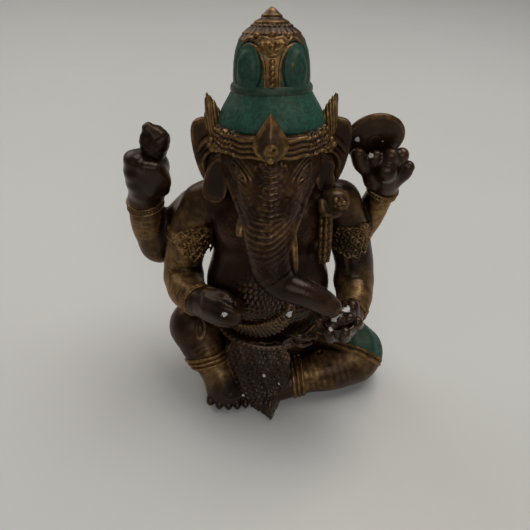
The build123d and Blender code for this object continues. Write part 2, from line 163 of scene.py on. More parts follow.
def smooth_path(stations, steps=6):
    """A Catmull-Rom curve through (x, y, z, radius) stations."""
    p = np.array(stations, float)
    p = np.vstack([2 * p[0] - p[1], p, 2 * p[-1] - p[-2]])
    out = []
    for i in range(1, len(p) - 2):
        for s in range(steps):
            t = s / steps
            out.append(0.5 * ((2 * p[i]) + (p[i + 1] - p[i - 1]) * t
                              + (2 * p[i - 1] - 5 * p[i] + 4 * p[i + 1] - p[i + 2]) * t * t
                              + (3 * p[i] - p[i - 1] - 3 * p[i + 1] + p[i + 2]) * t ** 3))
    out.append(p[-2])
    return np.array(out)


def rope(stations, steps=6):
    """A round form along a curve through (x, y, z, radius) stations."""
    path = smooth_path(stations, steps) if len(stations) > 2 else np.array(stations, float)
    low = (path[:, :3] - path[:, 3:]).min(0)
    high = (path[:, :3] + path[:, 3:]).max(0)

    def distance(xyz):
        best = None
        for p, q in zip(path[:-1], path[1:]):
            c, off2 = along(xyz, p[:3], q[:3])
            d = np.sqrt(off2) - (p[3] + (q[3] - p[3]) * c)
            best = d if best is None else np.minimum(best, d)
        return best
    return Form(low, high, distance)


def blend(a, b, k):
    """Smooth union of two fields over a width of k."""
    if k <= 0:
        return np.minimum(a, b)
    h = np.clip(0.5 + 0.5 * (b - a) / k, 0, 1)
    return b + (a - b) * h - k * h * (1 - h)


def carve(a, b, k):
    """Smooth difference: a without b."""
    return -blend(-a, b, k)


def line(value, at, wide):
    """A soft ridge where value is at."""
    return np.exp(-((value - at) / wide) ** 2)


def soft_step(x, low, high):
    """0 below low, 1 above high and smooth between."""
    t = np.clip((x - low) / (high - low), 0, 1)
    return t * t * (3 - 2 * t)


# ---------------------------------------------------------------- the body, as welded forms
SHOULDER_R, SHOULDER_L = (-39, 3, 104), (39, 3, 104)
KNEE_R, KNEE_L = (-41, -18, 37), (51, -21, 17)
ANKLE_R, ANKLE_L = (-28, -34, 17), (18, -33, 10)
TRUNK_TURN = (1.8, -43.5, 97)

ARM_R = [(-34.5, 3, 104, 12.0), (-41.8, 0, 90, 11.4), (-46.5, -4, 74, 10.6), (-47, -7, 64, 11.0)]
ARM_L = [(37, 3, 106, 12.2), (43, 0, 90, 11.4), (47.5, -5, 74, 10.6), (48, -9, 63, 11.0)]
FOREARM_R = [(-47, -7, 64, 10.9), (-43.5, -19, 64, 10.2), (-35.5, -31, 67, 7.8)]
FOREARM_L = [(48, -9, 63, 10.9), (47, -21, 60, 9.6), (42.5, -33, 60, 7.8)]
REAR_ARM_R = [(-40, 11, 98, 10.5), (-52, 13, 84, 11.0), (-62, 12, 74, 11.3)]
REAR_ARM_L = [(40, 11, 97, 10), (46, 14, 87, 9.2), (50, 14, 79, 8.8)]
REAR_FOREARM_R = [(-62, 12, 74, 11.2), (-65.5, 10.5, 88, 10.6), (-66, 8, 104, 8.8)]
REAR_FOREARM_L = [(50, 14, 79, 8.7), (55.5, 11.5, 92, 8.4), (60.2, 6.8, 111, 7.0)]
TRUNK = [(0.8, -26, 124, 14.2), (0.2, -32.5, 115.5, 12.6), (0.2, -38, 107, 10.8), TRUNK_TURN + (9.2,)]
TRUNK_TIP = [TRUNK_TURN + (9.0,), (7, -46.2, 91.0, 7.8), (17, -48.4, 87.6, 6.8), (25, -49.2, 83.5, 6.1),
             (30, -49.6, 79.5, 5.4)]

# (node, form, width of the weld to what is there, centre and reach of that weld or None for all round)
FLESH = [
    ("torso", egg((0, -8, 62), (34, 32, 31)), 0, None),
    ("torso", egg((0, -1, 94), (28, 21, 24)), 15, None),
    ("torso", pill((-26, 4, 107), 13, (26, 4, 107), 13), 7, None),
    ("torso", egg((-13, -13, 101), (12, 9, 10)), 10, None),
    ("torso", egg((13, -13, 101), (12, 9, 10)), 10, None),
    ("torso", pill((1, 3, 112), 16, (1.5, 2, 126), 15), 6, None),
    ("hips", egg((1, 3, 24), (41, 32, 30)), 5, None),
    ("right_thigh", rope([(-22, -2, 30, 19), (-34, -11, 33, 17), KNEE_R + (15.2,)]), 6, ((-20, 4, 26), 22)),
    ("left_thigh", rope([(24, 2, 24, 19), (39, -9, 20.5, 18), KNEE_L + (16.6,)]), 6, ((20, 4, 24), 22)),
    ("right_shin", rope([(-41, -18.5, 36, 14.6), (-35.5, -27, 26.5, 12.2), ANKLE_R + (9.4,)]),
     5, (KNEE_R, 13)),
    ("left_shin", rope([(50, -24, 15, 14.6), (35, -30, 13.5, 13), ANKLE_L + (9.6,)]), 5, (KNEE_L, 14)),
    ("right_foot", rope([(-27.5, -35, 14, 9.4), (-26, -39, 10.5, 9.2), (-23, -42.5, 7.0, 7.0)]), 4, None),
    ("right_foot", egg((-22, -39.5, 6.5), (13, 10, 7.0), (0, 0, 6)), 3, None),
    ("left_foot", rope([(17, -33.5, 9.5, 9.2), (10, -38, 8, 8), (3, -41, 6.5, 6.6)]), 4, None),
    ("right_upper_arm", rope(ARM_R), 7, (SHOULDER_R, 15)),
    ("left_upper_arm", rope(ARM_L), 7, (SHOULDER_L, 15)),
    ("right_forearm", rope(FOREARM_R), 3, ((-47, -8, 64), 12)),
    ("left_forearm", rope(FOREARM_L), 3, ((48, -9, 63), 12)),
    ("right_hand", rope([(-34, -33, 68, 7.7), (-28, -38, 70.4, 8.6), (-22.6, -42, 72.0, 8.2),
                         (-18.4, -44, 72.6, 6.8)]), 2.5, None),
    ("left_hand", rope([(42, -33, 60, 7.6), (38.6, -40, 60.6, 9.0), (35.4, -45.6, 63.4, 8.8)]), 2.5, None),
    ("rear_right_upper_arm", rope(REAR_ARM_R), 7, ((-40, 8, 98), 14)),
    ("rear_left_upper_arm", rope(REAR_ARM_L), 7, ((40, 8, 97), 12)),
    ("rear_right_forearm", rope(REAR_FOREARM_R), 3, None),
    ("rear_left_forearm", rope(REAR_FOREARM_L), 3, None),
    ("rear_right_hand", rope([(-65.5, 8, 107, 8.6), (-62.5, 7.0, 116, 10.0), (-60.5, 6.6, 125, 10.2)]),
     2, None),
    ("rear_left_hand", rope([(60.4, 6, 113, 7.2), (59.4, 4.4, 120, 8.8), (58.0, 3.4, 126.5, 9.2)]), 2, None),
    ("head", egg((1.5, -2, 134), (25, 22, 20)), 3, None),
    ("head", rope([(1.5, -10, 140, 21), (1.4, -17.5, 132, 18), (1.2, -26, 124, 13.2)]), 7, None),
    ("trunk", rope(TRUNK, 8), 5, None),
    ("trunk_tip", rope(TRUNK_TIP, 8), 2, None),
]


THIN_WELD = 0.3                         # the weld's width far from its seat
SHARPEST_WELD = 0.05


def weld_width(xyz, width, seat):
    """The width of a weld at each point."""
    if seat is None:
        return width
    centre, reach = seat
    far2 = sum((xyz[i] - centre[i]) ** 2 for i in range(3))
    return THIN_WELD + width * np.exp(-far2 / reach ** 2)


def weld(a, b, k):
    """Smooth union over a width that may vary from point to point."""
    h = np.clip(0.5 + 0.5 * (b - a) / np.maximum(k, SHARPEST_WELD), 0, 1)
    return b + (a - b) * h - k * h * (1 - h)


def flesh(block, nodes=None):
    """The field over a block of the whole body, or of some of its nodes."""
    f = np.full(block.count, FAR, np.float32)
    for node, form, width, seat in FLESH:
        if nodes and node not in nodes:
            continue
        spot = block.near(form, BODY_MARGIN)
        if spot:
            cuts, xyz = spot
            f[cuts] = weld(f[cuts], form.distance(xyz), weld_width(xyz, width, seat))
    for low, high, change in DETAILS:
        spot = block.window(low, high)
        if spot:
            cuts, xyz = spot
            f[cuts] = change(xyz, f[cuts])
    return f


def cell(block, node):
    """Negative where the node's own forms are nearer than every other node's."""
    own = np.full(block.count, FAR, np.float32)
    rest = np.full(block.count, FAR, np.float32)
    for name, form, _, _ in FLESH:
        spot = block.near(form, BODY_MARGIN)
        if spot:
            cuts, xyz = spot
            target = own if name == node else rest
            target[cuts] = np.minimum(target[cuts], form.distance(xyz))
    return own - rest


DETAILS = []                            # (low corner, high corner, change to the body's field), filled below


# ---------------------------------------------------------------- meshing
def blurred(f, reach):
    """The field averaged over a box, twice."""
    for _ in range(2):
        for axis in range(3):
            n = f.shape[axis]
            if n <= 2 * reach + 1:
                continue
            pad = [(0, 0)] * 3
            pad[axis] = (reach + 1, reach)
            total = np.cumsum(np.pad(f, pad, mode="edge"), axis=axis, dtype=np.float32)
            take = [slice(None)] * 3
            take[axis] = slice(2 * reach + 1, None)
            drop = [slice(None)] * 3
            drop[axis] = slice(0, n)
            f = (total[tuple(take)] - total[tuple(drop)]) / (2 * reach + 1)
    return f


def sample(f, points):
    """Trilinear values of a field at points in lattice coordinates."""
    low = np.clip(np.floor(points).astype(int), 0, np.array(f.shape) - 2)
    t = (points - low).astype(np.float32)
    out = np.zeros(len(points), np.float32)
    for corner in range(8):
        step = [(corner >> a) & 1 for a in range(3)]
        w = np.ones(len(points), np.float32)
        for a in range(3):
            w *= t[:, a] if step[a] else 1 - t[:, a]
        out += w * f[low[:, 0] + step[0], low[:, 1] + step[1], low[:, 2] + step[2]]
    return out


SMALLEST_SHELL = 0.05                   # as a share of the largest one's vertices
NEAR_REACH, WIDE_REACH = 1.1, 3.2       # how far round a point its surroundings are averaged


def big_shells(count, faces):
    """A mask that leaves out the faces of stray small shells."""
    label = np.arange(count)
    edges = np.vstack([faces[:, [0, 1]], faces[:, [1, 2]], faces[:, [2, 3]]])
    while True:
        low = np.minimum(label[edges[:, 0]], label[edges[:, 1]])
        before = label.copy()
        np.minimum.at(label, edges[:, 0], low)
        np.minimum.at(label, edges[:, 1], low)
        label = label[label]
        if np.array_equal(before, label):
            break
    sizes = np.bincount(label, minlength=count)
    return sizes[label[faces[:, 0]]] >= SMALLEST_SHELL * sizes.max()


def skin(block, solid, relief):
    """Points, faces, and how far each point stands proud of what is near it and of what is wide around it."""
    grid = openvdb.FloatGrid(background=float(FAR))
    closed = np.pad(solid, 1, constant_values=1.0)
    grid.copyFromArray(np.ascontiguousarray(np.clip(closed, -FAR, FAR)))
    points, tris, quads = grid.convertToPolygons(isovalue=0.0, adaptivity=0.0)
    points = points - 1.0               # takes the pad off again
    faces = quads[:, ::-1].astype(int)
    if len(tris):
        faces = np.vstack([faces, np.column_stack([tris[:, ::-1], tris[:, 0]]).astype(int)])
    faces = faces[big_shells(len(points), faces)]
    used, inverse = np.unique(faces, return_inverse=True)
    points, faces = points[used], inverse.reshape(faces.shape)
    near = max(1, round(NEAR_REACH / block.step))
    proud = sample(blurred(relief, near) - relief, points)
    wide = max(2, round(WIDE_REACH / block.step))
    hollow = sample(blurred(relief, wide) - relief, points)
    world = (points + block.first) * block.step
    return world.astype(np.float32), faces, proud, hollow


def make_object(name, data, material, tint):
    """A mesh of quads from sculpt's data, with the attributes that its material reads."""
    world, faces, proud, hollow = data
    mesh = bpy.data.meshes.new(name)
    mesh.vertices.add(len(world))
    mesh.vertices.foreach_set("co", (world * UNIT).ravel())
    mesh.loops.add(4 * len(faces))
    mesh.loops.foreach_set("vertex_index", faces.ravel().astype(np.int32))
    mesh.polygons.add(len(faces))
    mesh.polygons.foreach_set("loop_start", np.arange(0, 4 * len(faces), 4, dtype=np.int32))
    mesh.update(calc_edges=True)
    mesh.validate()
    mesh.shade_smooth()
    for key, values in (("proud", proud), ("hollow", hollow), *tint(world).items()):
        layer = mesh.attributes.new(key, "FLOAT", "POINT")
        layer.data.foreach_set("value", values.astype(np.float32))
    mesh.materials.append(material)
    obj = bpy.data.objects.new(name, mesh)
    bpy.context.scene.collection.objects.link(obj)
    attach(obj, "root")
    return obj


# ---------------------------------------------------------------- ornament: patterns and small forms
HEAD_AXIS = (1.5, 1.0)
LEAN, LEAN_FOOT = math.radians(12.5), 158.0     # the crown leans back about this height of its axis


def azimuth(x, y):
    """The angle about the head's axis, 0 to the front."""
    return np.arctan2(x - HEAD_AXIS[0], -(y - HEAD_AXIS[1]))


def one_turn(angle):
    """The same angle between minus and plus half a turn."""
    return (angle + math.pi) % (2 * math.pi) - math.pi


def upright(xyz):
    """Coordinates in which the crown stands straight."""
    c, t = math.cos(LEAN), math.sin(LEAN)
    y, z = xyz[1] - HEAD_AXIS[1], xyz[2] - LEAN_FOOT
    return xyz[0], HEAD_AXIS[1] + y * c - z * t, LEAN_FOOT + y * t + z * c


def leaning(form):
    """A form of the upright crown, leant back with it."""
    centre = np.array([HEAD_AXIS[0], HEAD_AXIS[1], LEAN_FOOT])
    c, t = math.cos(LEAN), math.sin(LEAN)
    corners = np.array([[(form.low, form.high)[k >> a & 1][a] for a in range(3)] for k in range(8)]) - centre
    x, y, z = corners.T
    moved = np.column_stack([x, y * c + z * t, z * c - y * t]) + centre
    return Form(moved.min(axis=0), moved.max(axis=0), lambda xyz: form.distance(upright(xyz)))


def turned(axis, profile):
    """A solid of revolution about an upright axis from (radius, z) points, lowest first."""
    radii, heights = np.array([p[0] for p in profile]), np.array([p[1] for p in profile])
    slope = np.gradient(radii, heights)
    reach = radii.max()

    def distance(xyz):
        z = xyz[2]
        wall = np.interp(z, heights, radii).astype(np.float32)
        steep = np.interp(z, heights, slope).astype(np.float32)
        r = np.sqrt((xyz[0] - axis[0]) ** 2 + (xyz[1] - axis[1]) ** 2)
        side = (r - wall) / np.sqrt(1 + steep ** 2)
        return np.maximum(side, np.maximum(heights[0] - z, z - heights[-1]))
    low = (axis[0] - reach, axis[1] - reach, heights[0])
    return Form(low, (axis[0] + reach, axis[1] + reach, heights[-1]), distance)


def gather(block, forms, k=0.0):
    """The field of some forms over a block, each blended in over a width of k."""
    f = np.full(block.count, FAR, np.float32)
    for form in forms:
        spot = block.near(form, SMALL_MARGIN)
        if spot:
            cuts, xyz = spot
            f[cuts] = blend(f[cuts], form.distance(xyz), k)
    return f


def scales(u, v, pitch):
    """Overlapping round scales in rows, from 0 in the joints to 1 on the tips."""
    row = np.floor(v / pitch)
    best = np.zeros(np.broadcast(u, v).shape, np.float32)
    for back in (0, 1):
        r = row - back
        du = u / pitch - 0.5 * np.mod(r, 2)
        du = du - np.round(du)
        dv = v / pitch - r
        q = np.sqrt((du * 1.15) ** 2 + (dv * 0.62) ** 2)
        lift = np.clip(1.25 - 1.9 * q, 0, 1) * (1 - 0.25 * back)
        best = np.maximum(best, lift)
    return best


def swirls(u, v, pitch, turns=1.6):
    """Small spiral scrolls packed in staggered rows, from 0 in the grooves to 1 on the ridges."""
    row = np.round(v / (0.9 * pitch))
    du = u / pitch - 0.5 * np.mod(row, 2)
    cell_u = np.round(du)
    du, dv = du - cell_u, v / pitch - 0.9 * row
    q = np.sqrt(du ** 2 + dv ** 2)
    hand = np.where(np.mod(cell_u + row, 2) > 0.5, 1.0, -1.0)
    phase = 2 * math.pi * turns * q * 1.6 + hand * np.arctan2(dv, du)
    return (0.5 + 0.5 * np.cos(phase)) * np.clip(1.35 - 1.5 * q, 0.15, 1)


def bead_row(s, t, pitch, radius):
    """Height of a row of beads along s."""
    ds = (s / pitch - np.round(s / pitch)) * pitch
    return np.sqrt(np.maximum(radius ** 2 - ds ** 2 - t ** 2, 0))


def limb_frame(xyz, a, b):
    """Along-limb distance from a, angle about the limb (0 to the front) and distance from its axis."""
    axis = (Vector(b) - Vector(a)).normalized()
    front = Vector((0, -1, 0))
    front = (front - front.dot(axis) * axis).normalized()
    side = axis.cross(front)
    d = local(xyz, a)
    s, f, g = dot(d, axis), dot(d, front), dot(d, side)
    return s, np.arctan2(g, f), np.sqrt(f * f + g * g)


def shell(base, thickness, region, inset=0.9):
    """A layer on a surface: from inset below it to thickness above it, inside a region."""
    return np.maximum(np.maximum(base - thickness, -(base + inset)), region)


# ---------------------------------------------------------------- recipes: block -> (solid, relief)
OVERLAP = 0.35                          # how far neighbouring parts of the body reach into each other
PLATE_GAP = 0.1                         # between the hips and the base plate let into them


def flesh_piece(node):
    """The recipe for one node's share of the body."""
    def recipe(block):
        base = flesh(block)
        solid = np.maximum(base, cell(block, node) - OVERLAP)
        if node == "hips":
            solid = np.maximum(solid, PLATE_GAP - base_recipe(block)[0])
        return np.maximum(solid, -block.xyz[2]), base
    return recipe


def plain(forms, k=0.0, over=None):
    """The recipe for some forms blended over k, with a change over the whole where one is given."""
    def recipe(block):
        f = gather(block, forms, k)
        if over is not None:
            f = over(block.xyz, f)
        return np.maximum(f, -block.xyz[2]), f
    return recipe


# (radius, height) from the foot up
DOME_PROFILE = [(17.3, 164.5), (17.5, 168), (17.5, 173), (17.1, 178.5), (16.3, 183), (15.0, 186.6),
                (13.0, 189.8), (10.4, 192.2), (7.8, 193.8), (6.8, 194.2)]
DOME = turned(HEAD_AXIS, DOME_PROFILE)
PANEL_AZIMUTHS = (-40, 40, 140, -140)
PANEL_SIZE = (7.0, 10.4)
PANEL_Z = 176.2
DOME_RADIUS = 17.4
DOME_FOOT, DOME_TOP = 164.5, 194.2


def panel_place(xyz, facing):
    """Share of the way to the panel's edge, and the angle round it."""
    az = one_turn(azimuth(xyz[0], xyz[1]) - math.radians(facing))
    u, v = az * DOME_RADIUS / PANEL_SIZE[0], (xyz[2] - PANEL_Z) / PANEL_SIZE[1]
    return np.sqrt(u * u + v * v), np.arctan2(v, u)


def dome_recipe(block):
    """The dome, grooved round its panels and scaled at the top."""
    xyz = upright(block.xyz)
    f = DOME.distance(xyz)
    for facing in PANEL_AZIMUTHS:
        q, _ = panel_place(xyz, facing)
        f = f - 0.5 * line(q, 1.2, 0.08) + 0.45 * line(q, 1.05, 0.06)
    top = soft_step(xyz[2], 185.5, 188.0)
    f = f - 0.45 * top * (scales(azimuth(xyz[0], xyz[1]) * 12, xyz[2] - 184, 3.0) - 0.3)
    f = np.maximum(f, np.maximum(DOME_FOOT - xyz[2], xyz[2] - DOME_TOP))
    return f, f


def panels_recipe(block):
    """The oval cushions on the dome, each ridged round its middle."""
    xyz = upright(block.xyz)
    base = DOME.distance(xyz)
    inside = np.full(block.count, FAR, np.float32)
    height = np.zeros(block.count, np.float32)
    for facing in PANEL_AZIMUTHS:
        q, turn = panel_place(xyz, facing)
        inside = np.minimum(inside, (q - 1) * PANEL_SIZE[0])
        ridge = 0.5 + 0.5 * np.cos(2 * math.pi * (1.9 * q + 0.06) - 0.5 * np.sin(turn))
        fade = 0.35 + 0.65 * soft_step(np.sin(turn), -0.9, 0.3)
        height = np.where(q < 1.05, 1.3 * np.sqrt(np.clip(1 - q * q, 0, 1)) + 0.6 * ridge * fade, height)
    f = shell(base, height - 0.1, inside)
    return f, base - height


def on_dome(across, z, lift, *radii):
    """A point on the front of the dome, at a distance across and a height, lifted off it."""
    wall = np.interp(z, [p[1] for p in DOME_PROFILE], [p[0] for p in DOME_PROFILE])
    return (HEAD_AXIS[0] + across, HEAD_AXIS[1] - math.sqrt(wall ** 2 - across ** 2) - lift, z) + radii


def crest_forms():
    """The bead column up the front of the dome and the small grinning mask over it."""
    forms = [egg(on_dome(0, 167.6 + 2.35 * i, -0.1), (1.7 - 0.07 * i, 1.4, 1.3)) for i in range(6)]
    for side in (-1, 1):
        forms.append(rope([on_dome(3.5 * side, 166.5, -0.2, 0.7), on_dome(3.1 * side, 173, -0.2, 0.7),
                           on_dome(3.7 * side, 179.5, -0.1, 0.8), on_dome(6.6 * side, 184.6, -0.1, 0.9),
                           on_dome(9.6 * side, 185.8, -0.2, 0.7)]))
        forms.append(egg(on_dome(2.0 * side, 186.2, 0.5), (1.5, 1.3, 1.2)))
        forms.append(egg(on_dome(4.4 * side, 185.6, 0.1), (1.8, 1.3, 1.6), (0, 30 * side, 0)))
        forms.append(egg(on_dome(1.3 * side, 183.6, 0.5), (1.2, 1.2, 0.9), (0, -20 * side, 0)))
        forms.append(rope([on_dome(1.4 * side, 188.0, 0.3, 0.7), on_dome(4.2 * side, 188.6, 0.1, 0.8),
                           on_dome(6.4 * side, 187.4, 0.1, 0.6)]))
        forms.append(egg(on_dome(6.4 * side, 189.4, 0.0), (1.6, 1.5, 1.3), (0, -30 * side, 0)))
        forms.append(egg(on_dome(3.2 * side, 190.6, 0.0), (1.5, 1.4, 1.2)))
    forms.append(egg(on_dome(0, 184.4, 0.9), (1.3, 1.4, 1.9)))
    forms.append(egg(on_dome(0, 182.0, 0.3), (2.4, 1.1, 0.9)))
    forms.append(egg(on_dome(0, 189.6, 0.3), (1.9, 1.4, 1.7)))
    forms.append(egg(on_dome(0, 185.6, -1.0), (5.6, 1.9, 4.6), (-25, 0, 0)))
    return forms


FINIAL = turned(HEAD_AXIS, [(7.6, 192.9), (8.0, 193.8), (7.8, 194.6), (6.6, 195.3), (5.3, 195.8),
                            (4.6, 196.4), (4.6, 197.2), (3.8, 197.7), (3.0, 198.4), (1.8, 199.6),
                            (0.4, 200.5)])
BRIM = turned(HEAD_AXIS, [(24.6, 150.3), (25.4, 151.4), (25.2, 153.2), (24.2, 156), (22.6, 159.2),
                          (20.9, 162.0), (19.5, 164.4), (18.7, 165.8), (17.8, 166.4)])
RING = turned(HEAD_AXIS, [(17.3, 164.6), (18.3, 165.3), (18.9, 166.6), (18.8, 168.2), (18.1, 169.4),
                          (17.0, 169.9)])
BRIM_FOOT = 147.4


def brim_over(xyz, f):
    """Brush strokes on the brim, and its level foot."""
    x, y, z = upright(xyz)
    az = azimuth(x, y)
    strokes = 0.5 * np.sin(az * 29 + 1.4 * np.sin(az * 7)) + 0.5 * np.sin(az * 47 + z * 0.4)
    f = f + 0.07 * strokes * soft_step(z, 151, 154) * (1 - soft_step(z, 159, 163))
    return np.maximum(f, BRIM_FOOT - xyz[2])


BROW_X, BROW_Y, BROW_Z = 1.5, -2.0, 150.0      # the middle of the brow


def band_base(xyz):
    """Distance outside the tapering oval that carries the diadem, and the angle round it."""
    out, back, rise = xyz[0] - BROW_X, xyz[1] - BROW_Y, xyz[2] - BROW_Z
    x, y = out / (26.0 - 0.16 * rise), back / (27.0 - 0.2 * rise)
    r = np.sqrt(x * x + y * y)
    return (r - 1) * 26.5, np.arctan2(out, -back)


def diadem_recipe(block):
    """Four cords round the brow, with scrolls and a toothed edge at the sides and back."""
    xyz = block.xyz
    out, az = band_base(xyz)
    v = xyz[2] - (147.6 + 3.8 * np.cos(np.clip(az, -1.5, 1.5)))      # height, the band rising to the front
    s = az * 25.0                                                   # length along the band
    height = 0.4 + np.zeros(np.broadcast(out, v).shape, np.float32)
    for at, wide, tall in ((3.6, 0.8, 0.8), (1.0, 0.7, 0.7), (-1.2, 0.7, 0.8), (-3.7, 0.85, 0.9)):
        height = height + tall * np.exp(-((v - at - 0.35 * np.sin(s * 0.6)) / wide) ** 2)    # a wavy cord
    flank = soft_step(np.abs(s), 13, 18)
    leaf_s = np.abs(s / 6.4 - np.round(s / 6.4)) * 6.4
    leaf = 4.6 + 1.4 * np.clip(1 - leaf_s / 3.2, 0, 1) * flank
    height = height + 0.8 * flank * (swirls(s, v, 4.4) - 0.4)
    f = np.maximum(np.maximum(out - height, -(out + 6.0)), np.maximum(v - leaf, -4.7 - v) * 0.9)
    return f, out - height


PLATE_EDGE = [(8.0, 1.6), (7.2, 4.4), (5.6, 7.2), (3.5, 10.4)]     # from the widest place to the tip
PLATE_CHIN = [(6.0, -2.2), (3.2, -4.6)]                             # and on down to the lowest point
PLATE_OUTLINE = ([(-u, v) for u, v in PLATE_EDGE] + [(0, 15.2)] + PLATE_EDGE[::-1] + PLATE_CHIN + [(0, -5.8)]
                 + [(-u, v) for u, v in PLATE_CHIN[::-1]])


def outline_distance(u, v, outline):
    """Signed distance to a polygon, negative inside."""
    best, inside = None, None
    n = len(outline)
    for i in range(n):
        (x0, y0), (x1, y1) = outline[i], outline[(i + 1) % n]
        dx, dy = x1 - x0, y1 - y0
        t = np.clip(((u - x0) * dx + (v - y0) * dy) / (dx * dx + dy * dy), 0, 1)
        d = (u - x0 - t * dx) ** 2 + (v - y0 - t * dy) ** 2
        best = d if best is None else np.minimum(best, d)
        crosses = ((y0 > v) != (y1 > v)) & (u < (x1 - x0) * (v - y0) / (y1 - y0 + 1e-9) + x0)
        inside = crosses if inside is None else inside ^ crosses
    return np.where(inside, -np.sqrt(best), np.sqrt(best))


PLATE_PLACE, PLATE_LEAN = (0.9, -29.8, 151.5), math.radians(16)


def plate_recipe(block):
    """The swelling leaf on the brow, with a pierced boss and a beak below it."""
    x, y, z = local(block.xyz, PLATE_PLACE)
    u = x
    v = z * math.cos(PLATE_LEAN) + y * math.sin(PLATE_LEAN)
    w = -y * math.cos(PLATE_LEAN) + z * math.sin(PLATE_LEAN)
    edge = outline_distance(u, v, PLATE_OUTLINE)
    proud = 0.7 + 2.4 * np.sqrt(np.clip(-edge / 6.5, 0, 1))
    f = np.maximum(edge, np.maximum(w - proud, -w - 4.5))
    boss = np.sqrt(u ** 2 + (v - 0.2) ** 2 + (w - 1.4) ** 2) - 3.3
    beak = np.sqrt((u * 1.3) ** 2 + (v + 3.6) ** 2 + ((w - 1.4) * 0.9) ** 2) - 2.3
    f = blend(f, np.minimum(boss, beak), 1.4)
    hole = np.sqrt((u - 1.6) ** 2 + (v - 0.6) ** 2 + (w - 4.2) ** 2) - 0.9
    f = np.maximum(f, -hole)
    return f, f


# ears: a dished flap with a rolled rim and two folds, and a long lobe that hangs in front of it
FLAP = [(19, 148), (22.5, 153.6), (30, 154.0), (35.6, 152.8), (37.8, 149.6), (38.2, 144), (37.6, 136.5),
        (36.0, 128), (33.4, 121), (29.6, 117), (25, 118.5), (21.5, 127), (19.5, 137)]
LOBE = [(23.6, 137.8), (27, 136.6), (30.2, 132.4), (32.6, 126), (34.0, 120.4), (33.2, 115.8), (29.6, 112.6),
        (25.6, 113), (22.8, 116.8), (21.6, 122.5), (21.2, 129.5), (21.8, 134.8)]
SHORT_LOBE = [(a if z > 130 else 22 + 0.75 * (a - 22), 137.8 + 0.72 * (z - 137.8)) for a, z in LOBE]


def beside_head(side):
    """A function that puts (x, y, z, radius) at x to that side of the middle of the head."""
    return lambda x, y, z, *radius: (HEAD_AXIS[0] + side * x, y, z) + radius


def rounded(outline, steps=4):
    """A closed outline with its corners smoothed."""
    loop = [(a, z, 0.0, 0.0) for a, z in outline]
    path = smooth_path(loop[-2:] + loop + loop[:3], steps)
    return [tuple(p[:2]) for p in path[2 * steps:-2 * steps - 1]]


def leaf_plate(xyz, outline, depth, half, rim):
    """A thin leaf across x and z, lying at y = depth, with half its thickness and its rim's radius."""
    edge = outline_distance(xyz[0], xyz[2], outline)
    off = xyz[1] - depth
    slab = np.maximum(edge, (np.abs(off) - half) * 0.8)
    bead = np.sqrt((edge + rim) ** 2 + (off * 0.8) ** 2) - rim
    return blend(slab, bead, 0.9)


# stations of the folds of an ear
FOLDS = [
    [(24.6, -4.0, 147.6, 1.0), (28.9, -3.2, 145.2, 1.5), (32.8, -2.0, 142.0, 1.5), (35.4, -0.8, 138.0, 1.0)],
    [(22.4, -7.6, 139.6, 0.8), (25.2, -7.4, 138.0, 1.3), (27.4, -6.2, 134.0, 1.3), (28.6, -5.0, 128.0, 0.9)],
    [(28.4, -3.4, 139.0, 0.8), (31.6, -1.8, 136.0, 1.2), (33.4, -0.8, 131.0, 1.2), (32.8, -0.2, 125, 0.8)],
]


def ear_recipe(side):
    """An ear: the flap, the lobe in front of it, the folds and a root in the head."""
    at = beside_head(side)
    flap = [(HEAD_AXIS[0] + side * a, z) for a, z in rounded(FLAP)]
    lobe = [(HEAD_AXIS[0] + side * a, z) for a, z in rounded(LOBE if side < 0 else SHORT_LOBE)]
    folds = [rope([at(*station) for station in fold]) for fold in FOLDS]

    def recipe(block):
        xyz = block.xyz
        out = side * (xyz[0] - HEAD_AXIS[0])
        flap_depth = 0.6 - 0.9 * ((out - 31) / 8) ** 2 - 0.02 * (xyz[2] - 134)
        f = leaf_plate(xyz, flap, flap_depth, 1.7, 0.95)
        lobe_depth = -6.6 - 1.6 * ((out - 28) / 6) ** 2 + 0.1 * (out - 28) - 0.05 * (xyz[2] - 125)
        f = blend(f, leaf_plate(xyz, lobe, lobe_depth, 2.2, 0.85), 1.6)
        f = blend(f, gather(block, folds, 0.3), 1.2)
        f = blend(f, gather(block, [egg(at(20.5, -3, 138), (4.5, 6.5, 8))]), 2.0)
        return f, f
    return recipe


def flame_recipe(side):
    """The upright grooved horn over an ear, on a rosette with a drop."""
    at = beside_head(side)
    horn = rope([at(26.6, -2.2, 145, 3.0), at(26.8, -1.6, 150, 3.8), at(27.2, -1.2, 155, 3.9),
                 at(28.0, -0.8, 160, 2.7), at(29.4, -0.4, 165.0, 0.8)])
    root = rope([at(22.8, -1.0, 150.5, 2.2), at(25.6, -0.8, 152.0, 2.0)])
    petals = [egg(at(26.6 + 2.6 * math.cos(a), -6.2, 143.2 + 2.9 * math.sin(a)), (1.6, 1.4, 1.6))
              for a in np.arange(6) * math.pi / 3]
    core = egg(at(26.6, -6.8, 143.2), (1.8, 1.6, 1.8))
    drop = egg(at(25.8, -6.4, 137.8), (2.0, 1.8, 2.8))

    def recipe(block):
        f = blend(gather(block, [horn, root], 0.8), gather(block, petals + [core, drop], 0.3), 0.5)
        x, _, z = block.xyz
        x = x - at(29.2, 0, 0)[0]
        f = f - 0.22 * np.cos(x * 4.2 + 0.5 * z) * soft_step(z, 148, 150)
        return f, f
    return recipe


